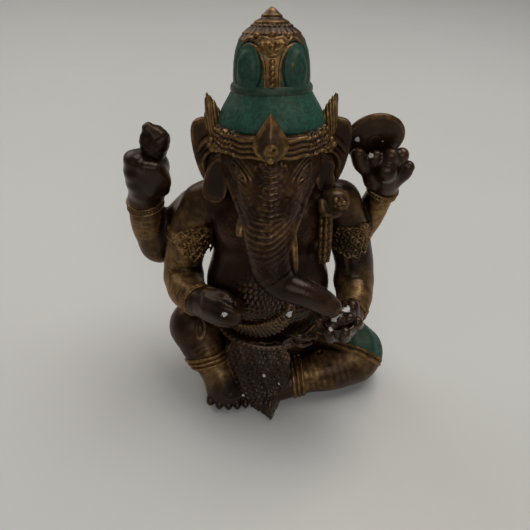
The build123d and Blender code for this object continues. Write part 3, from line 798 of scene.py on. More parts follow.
# arms and legs: bands that follow the limb beneath
def armband_recipe(arm, a, b, middle, half, face):
    """A chased band. face is the angle about the arm, in degrees, that its big plaque is turned to."""
    def recipe(block):
        xyz = block.xyz
        base = flesh(block)
        s, turn, r = limb_frame(xyz, a, b)
        turn = one_turn(turn - math.radians(face))
        v, u = s - middle, turn * 11.5
        plaque = np.exp(-(turn / 0.85) ** 4)
        reach = half * (0.26 + 0.74 * plaque * (1 - 0.35 * np.abs(turn))) + 0.9 * np.cos(u * 1.25) * plaque
        edge = np.abs(v - 0.8 * turn) - reach
        curls = swirls(u, v + 0.6, 4.4)
        height = 0.35 + plaque * (0.8 + 1.15 * curls) + (1 - plaque) * 0.4 * curls
        height = height + 0.55 * line(edge, -0.8, 0.5)
        leaf = np.exp(-(((u - 1) / 2.6) ** 2 + ((v + 1.5) / 4.0) ** 2))
        height = height + 1.0 * leaf
        region = np.maximum(np.maximum(edge, r - 15.0), cell(block, arm) - 0.2)
        f = shell(base, height, region)
        return f, base - height
    return recipe


def ring_band(a, b, places, wire, reach):
    """Rings of wire laid round a limb at those distances from a."""
    def recipe(block):
        xyz = block.xyz
        base = flesh(block)
        s, _, r = limb_frame(xyz, a, b)
        rings = [np.sqrt((s - place) ** 2 + (base - 0.15 * wire) ** 2) - wire for place in places]
        f = np.maximum(np.minimum.reduce(rings), r - reach)
        f = np.maximum(f, -xyz[2])
        return f, f
    return recipe


def bracelet(a, b, place, half, reach, beads=1.5):
    """A cuff with two rims and a row of beads between them."""
    def recipe(block):
        base = flesh(block)
        s, turn, r = limb_frame(block.xyz, a, b)
        v = s - place
        height = 0.35 + 0.75 * line(v, half - 0.5, 0.45) + 0.75 * line(v, 0.5 - half, 0.45)
        height = height + 0.8 * bead_row(turn * 8.0, v, beads, 0.45 * beads)
        f = shell(base, height, np.maximum(np.abs(v) - half, r - reach))
        return f, base - height
    return recipe


def clasp_recipe(block):
    """A round boss on the shoulder with a raised lip curling about it and a flower on its outer side."""
    boss = egg((33.0, -10.8, 115.2), (7.6, 5.8, 6.6))
    fold = rope([(38.0, -9.0, 110.5, 2.4), (33.0, -13.4, 109.4, 2.6), (28.0, -15.0, 111.4, 2.6),
                 (26.4, -13.6, 116.0, 2.0)])
    petal = (1.3, 1.2, 1.3)
    flower = [egg((34.6 + 2.2 * math.cos(a), -15.6, 117.0 + 2.2 * math.sin(a)), petal)
              for a in np.arange(5) * 0.4 * math.pi]
    f = blend(gather(block, [boss]), gather(block, [fold], 0.5), 1.2)
    f = blend(f, gather(block, flower + [egg((34.6, -16.0, 117.0), petal)], 0.2), 0.7)
    return f, f


THREAD = [(29.2, -14.6, 109.0, 3.6), (29.0, -16.8, 102.5, 4.0), (28.8, -19.2, 95.0, 4.0),
          (28.2, -22.0, 88.0, 3.2)]


def thread_recipe(block):
    """The twisted cord that hangs from the clasp."""
    xyz = block.xyz
    f = gather(block, [rope(THREAD)])
    f = f + 0.5 * line(np.mod(xyz[2] - 0.25 * xyz[0], 3.6), 1.8, 0.5)
    f = f - 0.35 * np.cos((xyz[0] - 28.6) * 2.3)
    return f, f


FRINGE = [(-22.0, -34.8, 57.0, 1.4), (-16.0, -38.8, 53.8, 4.2), (-8.6, -41.4, 53.2, 5.8),
          (0.4, -41.8, 56.4, 5.8), (7.0, -40.4, 62.0, 4.0), (11.0, -37.6, 68.5, 2.2)]


def fringe_recipe(block):
    """The ribbed apron's edge, ribs counted along its curve, laid on the belly."""
    xyz = block.xyz
    path = smooth_path(FRINGE, 8)
    lengths = np.concatenate([[0], np.cumsum(np.linalg.norm(np.diff(path[:, :3], axis=0), axis=1))])
    best, where = None, None
    for i, (p, q) in enumerate(zip(path[:-1], path[1:])):
        c, off2 = along(xyz, p[:3], q[:3])
        d = np.sqrt(off2) - (p[3] + (q[3] - p[3]) * c)
        s = lengths[i] + c * (lengths[i + 1] - lengths[i])
        if best is None:
            best, where = d, s + 0 * d
        else:
            where = np.where(d < best, s, where)
            best = np.minimum(best, d)
    ribs = 0.5 + 0.5 * np.cos(2 * math.pi * where / 2.15)
    f = np.maximum(best, flesh(block) - 2.6)
    f = f.astype(np.float32) - 0.62 * (ribs - 0.5)
    return f, f


BELT = [(-27, -26, 45.5, 1.8), (-20, -32.5, 42.5, 2.3), (-10, -36.6, 40.4, 2.6), (1, -38.0, 39.6, 2.7),
        (12, -36.6, 41.0, 2.6), (22, -31.6, 44.0, 2.1), (28, -25.5, 47.0, 1.8)]


def belt_recipe(block):
    """The rolled sash under the belly, set with beads."""
    xyz = block.xyz
    f = gather(block, [rope(BELT)])
    around = np.arctan2(xyz[0] - 0.5, -(xyz[1] + 6)) * 31
    level = xyz[2] - 39.8 - 0.0075 * (xyz[0] - 1) ** 2
    f = f - 0.4 * bead_row(around, level, 2.6, 1.1)
    return f, f


def knot_recipe(block):
    """A knot with two loops and two loose ends."""
    forms = [egg((17.5, -38.5, 47.4), (3.2, 3.0, 3.0)),
             rope([(12.6, -38.0, 49.4, 1.3), (17.0, -40.6, 49.8, 1.9), (22.2, -38.2, 46.4, 1.5)]),
             rope([(12.8, -38.6, 45.4, 1.2), (17.4, -41.2, 44.8, 1.8), (22.8, -38.6, 43.4, 1.3)]),
             rope([(22.4, -37.6, 47.4, 1.4), (25.2, -36.2, 45.6, 1.9), (26.4, -34.8, 42.4, 0.9)]),
             rope([(13.0, -38.6, 47.4, 1.0), (9.8, -39.4, 46.0, 1.5), (8.2, -40.0, 42.8, 0.9)])]
    f = gather(block, forms, 0.7)
    return f, f


def tail_recipe(block):
    """The pleated cloth end that falls from the belt and ends in a lopsided point."""
    x, y, z = block.xyz
    levels = [0, 8, 16, 26, 36, 44]
    left = np.interp(z, levels, [10.2, 14.0, 20.0, 24.0, 24.0, 17.0]).astype(np.float32)
    right = np.interp(z, levels, [10.0, 10.4, 11.0, 11.6, 11.0, 8.0]).astype(np.float32)
    front = np.interp(z, [0, 6, 12, 20, 30, 40, 46], [-46.0, -46.6, -46.6, -45.4, -42.8, -39.0, -36.6])
    front = front.astype(np.float32)
    u = x - 0.8
    point = np.interp(x, [-11, -8.2, 1.9, 9.8, 11], [-47.5, -48.2, -56.4, -38.0, -36.5]).astype(np.float32)
    low = soft_step(-z, -16, -5)
    front = front * (1 - low) + point * low + 0.09 * np.clip(-u - 7, 0, 20) ** 1.5 * (1 - low)
    ripple = np.sin(0.31 * z + 0.9) * 0.9 + np.sin(0.83 * z + 0.3 * u) * 0.4
    folds = (0.4 * np.cos(u * 0.8 + ripple) + 0.5 * line(u + 0.16 * z, 1.0, 1.6)) * soft_step(z, 9, 18)
    crease = 0.9 * line(x - 1.9 + 0.25 * (z - 4), 0, 0.8) - 0.5 * line(x + 1.6 + 0.1 * z, 0, 0.9)
    waves = np.sin(1.7 * u + 0.6 * z) + np.sin(2.9 * u - 1.3 * z + 1.0) + np.sin(0.9 * u + 2.3 * z + 2.0)
    weave = 0.16 * waves
    sides = np.maximum(-u - left, u - right) + 0.4 * np.sin(z * 0.7)
    f = np.maximum((front - y) * 0.8 - folds - crease * low - weave, sides)
    f = np.maximum(f, y - front - 12.5)
    f = np.maximum(f, np.maximum(z - 43.0, -z)).astype(np.float32)
    return f, f


CLOTH_POINT, CLOTH_NORMAL = (45, -27.6, 27.2), Vector((0.38, 0.78, 0.42)).normalized()


def cloth_side(xyz):
    """How far behind the bowed edge of the thigh's cloth."""
    return dot(local(xyz, CLOTH_POINT), CLOTH_NORMAL) - 0.0035 * (xyz[0] - 44) ** 2


def cloth_recipe(block):
    """A thin pleated layer on the left thigh, behind the edge."""
    xyz = block.xyz
    base = flesh(block, ("left_thigh", "left_shin", "hips"))
    side = cloth_side(xyz)
    height = 0.55 + 0.28 * np.cos((xyz[0] * 0.55 + xyz[1] * 0.2 - xyz[2] * 0.45) * 0.9)
    region = np.maximum(np.maximum(-side, 6.2 - xyz[2]), np.maximum(24 - xyz[0], side - 24))
    f = shell(base, height, region, 0.8)
    return f, base - height


def border_recipe(block):
    """Two cords along the edge of the cloth."""
    xyz = block.xyz
    base = flesh(block, ("left_thigh", "left_shin", "hips"))
    v = cloth_side(xyz)
    height = 0.3 + 1.5 * line(v, 1.25, 0.75) + 1.5 * line(v, -1.25, 0.75)
    region = np.maximum(np.maximum(np.abs(v) - 2.5, 7.0 - xyz[2]), 26 - xyz[0])
    f = shell(base, height, region, 0.8)
    return f, base - height


# things held
CHAKRA_PLACE, CHAKRA_TURN = (52.6, 5.6, 139.9), (18, 0, 4)


def chakra_recipe(block):
    """A dished disc with a rolled rim and a short stem down into the fist."""
    x, y, z = local(block.xyz, CHAKRA_PLACE, CHAKRA_TURN)
    radius, half, rim_radius = 14.4, 1.3, 1.25
    r = np.sqrt(x * x + z * z)
    dish = np.maximum(r - radius, np.abs(y - 0.035 * r * r * 0.25) - half)
    rim = np.sqrt((r - 13.8) ** 2 + (y - 1.6) ** 2) - rim_radius
    f = blend(dish, rim, 0.6)
    stem = rope([(53.4, 7.0, 131.5, 1.6), (56, 6.2, 125.5, 1.7), (58.6, 5.4, 120, 1.6)])
    f = blend(f, gather(block, [stem]), 0.8)
    f = f + 0.12 * line(r, 4.2, 0.5)
    return f, f


GOLDEN_TURN = 2.399963                  # radians from one lump to the next, so that they spread evenly


def lumps(centre, radii, count, size, seed, low=-1.0):
    """Round lumps scattered over an egg's surface."""
    picks = np.random.default_rng(seed)
    forms = []
    for i in range(count):
        h = 1 - 2 * (i + 0.5) / count
        if h < low:
            continue
        a = i * GOLDEN_TURN + picks.uniform(-0.2, 0.2)
        flat = math.sqrt(max(0, 1 - h * h))
        p = [centre[0] + radii[0] * flat * math.cos(a), centre[1] + radii[1] * flat * math.sin(a),
             centre[2] + radii[2] * h]
        r = size * picks.uniform(0.75, 1.2)
        forms.append(egg(p, (r, r, r * picks.uniform(0.7, 1.0)), (0, 0, math.degrees(a))))
    return forms


BOWL = (34.4, -46.8, 70.2)


def bowl_recipe(block):
    """A fluted half shell with a wavy lip."""
    x, y, z = local(block.xyz, BOWL)
    outer, inner = 9.9, 8.2
    r = np.sqrt(x * x + y * y + z * z)
    a = np.arctan2(y, x)
    f = np.maximum(r - outer, z + 0.3)
    f = np.maximum(f, -(np.sqrt(x * x + y * y + (z - 0.2) ** 2) - inner))
    lip = np.sqrt((np.sqrt(x * x + y * y) - 9.2) ** 2 + (z + 0.9) ** 2) - (0.95 + 0.2 * np.cos(9 * a))
    f = blend(f, lip, 0.6)
    return f + 0.25 * np.cos(10 * a) * soft_step(-z, 1.5, 3.0), f


def sweets_recipe(block):
    """A heap of round sweets over a core that joins them."""
    forms = lumps((BOWL[0], BOWL[1], BOWL[2] + 0.6), (6.2, 6.0, 5.0), 16, 3.3, 5, -0.25)
    forms.append(egg((BOWL[0], BOWL[1], BOWL[2] + 0.2), (7.6, 7.4, 5.6)))
    f = gather(block, forms, 1.4)
    return f, f


def axe_recipe(block):
    """What is left of the upright thing in the raised right fist: a rough stump, broken off short."""
    forms = [rope([(-57.5, 6.6, 133, 6.4), (-56.0, 6.6, 138, 6.9), (-55.6, 6.6, 141.0, 6.2)]),
             egg((-51.8, 5.4, 139.6), (3.6, 4.6, 5.0), (0, 20, 0)),
             egg((-60.0, 4.6, 139.6), (3.2, 3.6, 4.8)),
             egg((-58.0, 5.4, 145.8), (3.2, 3.4, 3.4), (0, -20, 0)),
             egg((-53.4, 5.4, 143.0), (2.8, 3.4, 3.0))]
    f = gather(block, forms, 1.6)
    xyz = block.xyz
    f = f + 0.16 * np.sin(xyz[0] * 1.3 + 1.1 * np.sin(xyz[2] * 0.9)) * np.sin(xyz[2] * 1.2 + 0.4 * xyz[1])
    return f, f


def base_recipe(block):
    """The oval plate let into the underside."""
    half_length, half_width, thickness = 26.9, 18.9, 2.9
    x, y, z = block.xyz
    r = np.sqrt((x / half_length) ** 2 + (y / half_width) ** 2)
    f = np.maximum(np.maximum((r - 1) * 21, z - thickness), -z)
    return f, f


# ---------------------------------------------------------------- fingers, toes, face
def finger(*stations):
    """A finger through (x, y, z, radius) stations."""
    return rope(list(stations), 5)


def weld_on(node, width, *forms):
    """Adds forms to a node of the body, each welded on over that width."""
    FLESH.extend((node, form, width, None) for form in forms)


# right hand, closed to a soft fist
weld_on("right_hand", 2.2,
        finger((-29.2, -41.0, 76.4, 3.2), (-23.0, -46.0, 77.4, 3.5), (-17.2, -48.4, 75.6, 3.2),
               (-15.4, -47.2, 72.0, 2.6)),
        finger((-30, -43.0, 72.2, 3.2), (-23.6, -47.8, 73.0, 3.5), (-18.0, -49.6, 71.2, 3.2),
               (-16.4, -47.8, 68.2, 2.6)),
        finger((-30.4, -42.0, 68.0, 3.0), (-24.6, -46.6, 68.4, 3.2), (-19.6, -47.6, 67.4, 2.8)),
        finger((-30, -36.6, 77.4, 2.8), (-22.4, -41, 79.2, 3.0), (-16.4, -44.4, 77.6, 2.6)))
# left hand, cupped about the sweets: four fingers and the ball of the thumb
weld_on("left_hand", 1.8,
        finger((29.5, -42, 63, 3.3), (25.8, -46.3, 66.6, 3.2), (25.6, -49.2, 71.2, 2.8)),
        finger((33, -47, 60, 3.4), (30.6, -53.2, 63.0, 3.3), (29.4, -55.4, 68.2, 3.0)),
        finger((38, -46.5, 60, 3.4), (37.8, -53.0, 63.0, 3.3), (37.2, -55.6, 68.4, 3.0)),
        finger((42, -41, 61, 3.3), (44.6, -46.2, 64.6, 3.2), (43.8, -50.0, 70.0, 2.8)))
weld_on("left_hand", 2.4, egg((42.4, -38.4, 68.0), (4.4, 5.2, 6.8), (20, 0, 0)))
# rear right hand, a closed fist about the stump: four knuckles, the thumb and the palm
for centre, radii in (((-67.6, 3.4, 130.6), (4.6, 6.6, 4.0)), ((-68.0, 2.6, 124.0), (4.8, 7.2, 4.2)),
                      ((-67.6, 2.8, 117.6), (4.6, 6.8, 4.0)), ((-66.0, 3.6, 111.8), (4.2, 6.0, 3.6))):
    weld_on("rear_right_hand", 4.0, egg(centre, radii, (0, 0, 20)))
weld_on("rear_right_hand", 3.2,
        finger((-54.6, 3.6, 114.0, 3.8), (-53.0, 0.6, 121.0, 3.9), (-55.4, -1.4, 127.6, 3.7),
               (-60.6, -2.6, 129.6, 3.2)))
weld_on("rear_right_hand", 2.5, egg((-59.0, -1.4, 122.0), (5.4, 3.4, 8.0)))
# rear left hand, knuckles bunched under the disc
weld_on("rear_left_hand", 2.2,
        finger((50.6, 3.4, 124.6, 3.9), (46.4, 1.4, 129.6, 4.1), (44.0, 0.2, 135.0, 3.7)),
        egg((52.6, 0.6, 133.0), (4.2, 4.0, 4.4), (0, 20, 0)))
weld_on("rear_left_hand", 1.8, egg((60.0, -0.6, 134.0), (4.2, 4.0, 4.6), (0, -10, 0)))
weld_on("rear_left_hand", 1.6,
        egg((58.4, -3.6, 127.4), (5.2, 4.4, 5.2)),
        egg((65.4, 1.2, 133.4), (3.9, 4.0, 4.6), (0, 20, 0)))
weld_on("rear_left_hand", 2.0,
        finger((64.6, 2.4, 119.6, 3.9), (68.2, 1.6, 124.0, 4.0), (69.8, 1.0, 127.6, 3.4)),
        egg((52.6, 1.0, 122.0), (4.6, 5.0, 6.4)))
# toes of the right foot, outermost first
for centre, radii, turn in (((-32.2, -44.6, 4.0), (2.8, 4.4, 3.6), (0, 0, -14)),
                            ((-27.2, -47.2, 4.0), (2.6, 4.4, 3.5), (0, 0, -6)),
                            ((-22.2, -47.8, 4.0), (2.5, 4.4, 3.4), None),
                            ((-17.4, -47.6, 3.9), (2.4, 4.2, 3.2), (0, 0, 4)),
                            ((-12.9, -46.8, 3.8), (2.3, 4.0, 3.1), (0, 0, 8))):
    weld_on("right_foot", 0.8, egg(centre, radii, turn))


def eye_relief(xyz, side):
    """Lids, ball and brow lines of an almond eye that slants up and outward."""
    centre = (1.7 + 14.8 * side, -26.0, 139.6)
    outward, up = (0.62 * side, 0.65, 0.44), (-0.53 * side, -0.1, 0.84)
    d = local(xyz, centre)
    t, n = dot(d, outward), dot(d, up)
    near = 1.35 * np.exp(-(t / 8.0) ** 4 - (n / 6.5) ** 4)
    lens = 1.9 * np.clip(1 - (t / 6.4) ** 2, 0, 1)
    lids = 0.75 * line(np.abs(n), lens, 0.5) * np.exp(-(t / 6.8) ** 6)
    ball = 0.9 * np.clip(1 - (t / 4.2) ** 2 - (n / 1.7) ** 2, 0, 1)
    pupil = 0.45 * np.exp(-((t + 0.4) ** 2 + n ** 2) / 0.5)
    brow = 0.6 * line(n, 3.6 - 0.02 * t * t, 0.55) + 0.45 * line(n, 5.2 - 0.02 * t * t, 0.5)
    under = 0.45 * line(n, -3.3 + 0.02 * t * t, 0.5) + 0.3 * line(n, -4.8 + 0.02 * t * t, 0.5)
    return near * (lids + ball - pupil + brow + under)


CHEEK = [(-18.4, -18.0, 130.0, 2.2), (-14.2, -27.6, 125.2, 2.2), (-11.8, -33.0, 120.4, 2.0),
         (-9.6, -38.2, 115.6, 1.8), (-8.0, -42.0, 110.0, 1.4)]


def head_detail(xyz, f):
    """Eyes, cheek edges, the ridged line down the face and the creases round the trunk."""
    x, y, z = xyz
    across = np.abs(x - 0.9)
    for side in (-1, 1):
        f = f - eye_relief(xyz, side)
        edge = rope([(1.1 + side * (0.6 - a), b, c, r) for a, b, c, r in CHEEK])
        f = blend(f, edge.distance(xyz), 2.2)
    half = np.interp(z, [100, 108, 116, 124, 128, 146], [0.0, 8.5, 10.0, 8.0, 3.4, 3.0])
    upper = soft_step(z, 121, 126)
    crest = upper * np.clip(np.cos(2 * math.pi * (z - 0.1 * across) / 2.1), 0, 1) ** 2
    bow = 0.42 * np.sqrt(across * across + 16) + 0.3 * (x - 0.9)
    crest = crest + (1 - upper) * np.clip(np.cos(2 * math.pi * (z - bow) / 2.7), 0, 1) ** 2
    below_brow = 1 - soft_step(z, 143, 147)
    reach = np.clip(1.25 - across / np.maximum(half, 0.3), 0, 1) * soft_step(z, 103, 108) * below_brow
    uneven = 0.85 + 0.35 * np.sin(0.9 * z + 1.7) * np.sin(0.5 * x + 0.6) - 0.3 * soft_step(x, 3, 9)
    f = f - 0.55 * uneven * crest * np.minimum(1, 2.2 * reach)
    ridge = line(across, 0, 1.1) * soft_step(z, 112, 118) * below_brow
    f = f - ridge * (0.35 + 0.35 * crest)
    dots = bead_row(x - 1.1, z - 146.6 + 0.06 * (x - 1.1) ** 2, 2.3, 1.1) * (across < 7.5)
    f = f - 0.8 * dots
    fine = np.sin(1.9 * x + 1.3 * np.sin(0.8 * z)) * np.sin(1.5 * z + 1.1 * np.sin(0.9 * y))
    return f - 0.09 * fine * soft_step(-y, 12, 22)


def hair_detail(xyz, f):
    """Combed strands over the back of the head."""
    around = np.arctan2(xyz[0] - 1.5, xyz[1] + 2)
    strands = np.cos(26 * around + 0.5 * np.sin(0.35 * xyz[2]))
    return f - 0.3 * strands * soft_step(xyz[1], 6, 10) * soft_step(xyz[2], 118, 124)


def belly_detail(xyz, f):
    """Rough overlapping scales on the belly above the fringe."""
    x, y, z = xyz
    patch = np.exp(-((x - 3) / 21) ** 4 - ((z - 69) / 12) ** 4) * soft_step(-y, 22, 28)
    rough = scales(x - 0.3 * z + 0.5 * np.sin(0.7 * z), z + 0.4 * np.sin(0.8 * x), 2.7)
    return f - patch * (rough - 0.35)


def knee_detail(xyz, f):
    """A small raised drop-shaped loop on the right knee."""
    x, y, z = xyz[0] + 36.6, xyz[1], xyz[2] - 45.5
    q = np.sqrt((x / 2.4) ** 2 + (z / 4.8) ** 2)
    return f - (0.7 * line(q, 1.0, 0.22) + 0.5 * line(q, 0.0, 0.3)) * soft_step(-y, 18, 24)


def elbow_detail(xyz, f):
    """Fine chasing below the right armband."""
    x, y, z = local(xyz, (-50.5, -12, 74))
    patch = np.exp(-((x * x + y * y + z * z) / 42) ** 2)
    return f - 0.55 * patch * (swirls(x + 0.3 * y, z - 0.4 * y, 2.4) - 0.4)


def pit_detail(xyz, f):
    """A small casting pit in the left shin."""
    x, y, z = local(xyz, (30.0, -28.6, 25.2))
    pit = np.sqrt(x ** 2 + y ** 2 + z ** 2) - 1.7
    return carve(f, pit, 0.4)


# the box that each change acts in
DETAILS += [((-30, -60, 98), (33, 8, 152), head_detail), ((-30, 4, 116), (33, 25, 158), hair_detail),
            ((-26, -48, 52), (32, -18, 86), belly_detail), ((-44, -40, 36), (-30, -16, 54), knee_detail),
            ((-60, -22, 64), (-40, -2, 84), elbow_detail), ((27, -32, 22), (33, -25, 28), pit_detail)]


# ---------------------------------------------------------------- where the patina is rubbed, darkened or painted, and where shade and glints are painted on
# Each spot is (centre, reach, strength).
GOLD_SPOTS = [
    ((-44, -17, 68), 15, 0.75), ((-66, 6, 95), 15, 0.28), ((62, 5, 100), 13, 0.8), ((48, -20, 66), 13, 0.5),
    ((-27, -38, 16), 9, 0.9), ((-33, -36, 26), 7, 0.7), ((30, -38, 16), 12, 0.35), ((58, -24, 22), 11, 0.4),
    ((25, -38, 20), 6, 0.4), ((50, -34, 27), 9, 0.45), ((20, -38, 12), 7, 0.5), ((-36, -6, 98), 12, 0.45),
    ((46, -4, 108), 9, 0.3), ((-47, -8, 80), 9, 0.5), ((1.5, -14, 182), 9, 0.6), ((34, -17, 117), 5, 0.3),
    ((-36, -30, 40), 8, 0.25), ((-1, -38, 110), 9, 0.3), ((0, -44, 58), 9, 0.3),
]
# darker patina on the hands, bowl, feet and tail, and painted shade under the trunk and belly, between the
# arms and the body and on the thigh's cloth
DARK_AND_SHADE_SPOTS = [
    ((-20, -46, 76), 9, 0.9), ((36, -50, 66), 13, 0.9), ((-64, 4, 122), 14, 1.2), ((-57, 5, 140), 12, 1.2),
    ((60, 1, 124), 14, 0.3), ((52, 2, 145), 12, 0.4), ((50, 0, 132), 9, 0.6), ((-22, -52, 4), 10, 1.0),
    ((0, -48, 8), 12, 0.6), ((-8, -44, 26), 13, 0.5), ((0, -36, 88), 14, 0.6), ((8, -48, 91), 12, 0.9),
    ((-30, -12, 60), 12, 0.6), ((0, -34, 48), 13, 0.7), ((40, -14, 92), 9, 0.8), ((-26, -10, 92), 10, 0.4),
    ((28, -4, 92), 10, 0.4), ((57, -8, 84), 7, 0.3), ((1.5, -2, 195), 9, 0.35), ((24, -30, 44), 9, 0.7),
    ((1, -46, 96), 11, 0.6), ((30, -13, 112), 7, 0.3), ((55, -21, 36), 13, 0.9), ((14, -25, 126), 8, 0.3),
    ((32, -1, 140), 10, 0.15), ((-11, -14, 175), 8, 0.4), ((14, -14, 175), 8, 0.35),
]
# painted highlights: glints of light on the glossy lacquer, painted in as pale spots
PAINTED_GLINT_SPOTS = [
    ((-20.8, -50, 75.6), 2.6, 1.0), ((11.5, -41.5, 66.5), 2.6, 1.0), ((12.5, -38.5, 38.5), 1.8, 1.0),
    ((31.6, -52, 76.0), 3.1, 1.0), ((38.6, -48.5, 78.0), 3.1, 1.0), ((30.0, -55.6, 70.5), 2.0, 0.8),
    ((43.6, 3.0, 141.0), 2.2, 1.0), ((56.4, 3.0, 139.0), 2.2, 1.0), ((50.2, -1.6, 135.4), 1.8, 1.0),
    ((-2, -44.6, 24), 1.3, 1.0), ((-12, -41.5, 20), 1.1, 1.0), ((6, -45.6, 18), 1.0, 0.9),
    ((-26, -48.5, 8), 1.3, 0.9), ((-14, -46.6, 9), 1.1, 0.9), ((20, -31.5, 62), 1.6, 0.9),
    ((45, -17, 92), 1.6, 0.9),
]
GLOSS_SPOTS = [
    ((-23, -44, 74), 13, 0.3), ((36, -50, 68), 13, 0.6), ((-64, 4, 120), 15, 0.5), ((58, 0, 126), 15, 0.6),
    ((-20, -46, 6), 14, 0.6), ((2, -46, 12), 15, 0.5), ((8, -40, 62), 16, 0.6), ((2, -38, 40), 15, 0.6),
    ((45, -8, 78), 12, 0.8), ((20, -48, 88), 12, 0.6),
]


def soft_spots(world, spots):
    """The sum of the spots at each point, every one fading with distance."""
    total = np.zeros(len(world), np.float32)
    for centre, reach, strength in spots:
        off2 = ((world - np.array(centre, np.float32)) ** 2).sum(1)
        total += strength * np.exp(-off2 / reach ** 2)
    return total


def tint(gold, green):
    """The attributes that steer the materials: how rubbed, painted, darkened or given painted shade, where
    glints are painted in, and how glossy.
    """
    def values(world):
        dim = soft_spots(world, DARK_AND_SHADE_SPOTS)
        shares = {"gold": gold + soft_spots(world, GOLD_SPOTS) - dim, "dim": dim,
                  "chip": soft_spots(world, PAINTED_GLINT_SPOTS), "gloss": soft_spots(world, GLOSS_SPOTS)}
        paint = np.zeros(len(world), np.float32) if green is None else green(world)
        return {"paint": paint, **{key: np.clip(share, 0, 1) for key, share in shares.items()}}
    return values


def dome_green(world):
    """Green up to the shoulder of the dome, except on the bead column's strip."""
    x, y, z = upright(world.T)
    away = soft_step(np.abs(azimuth(x, y)), 0.14, 0.26)
    return 0.95 * (1 - soft_step(z, 184.5, 188.5)) * away


def everywhere(amount):
    """The same amount of paint at every point."""
    return lambda world: np.full(len(world), amount, np.float32)


# lattice steps
FINEST, DENSE, FINE, MEDIUM, BROAD, PLATE_STEP = 0.26, 0.3, 0.32, 0.42, 0.5, 0.6
# the middle lines that bands are laid round
ARM_R_LINE, ARM_L_LINE = (ARM_R[1][:3], ARM_R[2][:3]), (ARM_L[1][:3], ARM_L[2][:3])
FOREARM_R_LINE = ((-47, -7, 64), (-35.5, -31, 67))
FOREARM_L_LINE = ((48, -9, 63), (42.5, -33, 60))
REAR_R_LINE, REAR_L_LINE = ((-65.5, 10.5, 88), (-66, 8, 104)), ((55.5, 11.5, 92), (60, 7, 108))
SHIN_R_LINE, SHIN_L_LINE = ((-38, -23, 36), (-31, -34, 16)), ((50, -30, 13), (18, -33, 10))


# shorthand for the rows below
def bronze(recipe, gold, step=FINE):
    return step, recipe, "dark_bronze", gold, None


def brass(recipe, gold, step=FINE):
    return step, recipe, "rubbed_brass", gold, None


def painted(recipe, gold, cover):
    return FINE, recipe, "green_paint", gold, everywhere(cover)


# node of the body: (lattice step, how gold it is)
BODY_LOOKS = {
    "torso": (BROAD, 0.02), "hips": (BROAD, 0.08),
    "head": (FINE, 0.2), "trunk": (FINE, 0.24), "trunk_tip": (FINE, 0.14),
    "right_thigh": (MEDIUM, 0.08), "left_thigh": (MEDIUM, 0.2),
    "right_shin": (MEDIUM, 0.1), "left_shin": (MEDIUM, 0.12),
    "right_foot": (FINE, 0.2), "left_foot": (FINE, 0.2),
    "right_upper_arm": (MEDIUM, 0.12), "left_upper_arm": (MEDIUM, 0.12),
    "right_forearm": (MEDIUM, 0.25), "left_forearm": (MEDIUM, 0.25),
    "right_hand": (FINE, 0.1), "left_hand": (FINE, 0.05),
    "rear_right_upper_arm": (MEDIUM, 0.15), "rear_left_upper_arm": (MEDIUM, 0.15),
    "rear_right_forearm": (MEDIUM, 0.3), "rear_left_forearm": (MEDIUM, 0.3),
    "rear_right_hand": (FINE, 0.05), "rear_left_hand": (FINE, 0.1),
}
TUSK_R = [(-10.6, -30.5, 120.5, 2.9), (-12.2, -35.0, 115.8, 2.6), (-12.9, -36.8, 113.8, 2.1)]
TUSK_L = [(10.4, -33.0, 117.5, 2.2), (11.6, -39.6, 108.0, 2.0), (12.4, -43.6, 99.5, 1.6),
          (12.2, -45.0, 95.0, 1.0)]

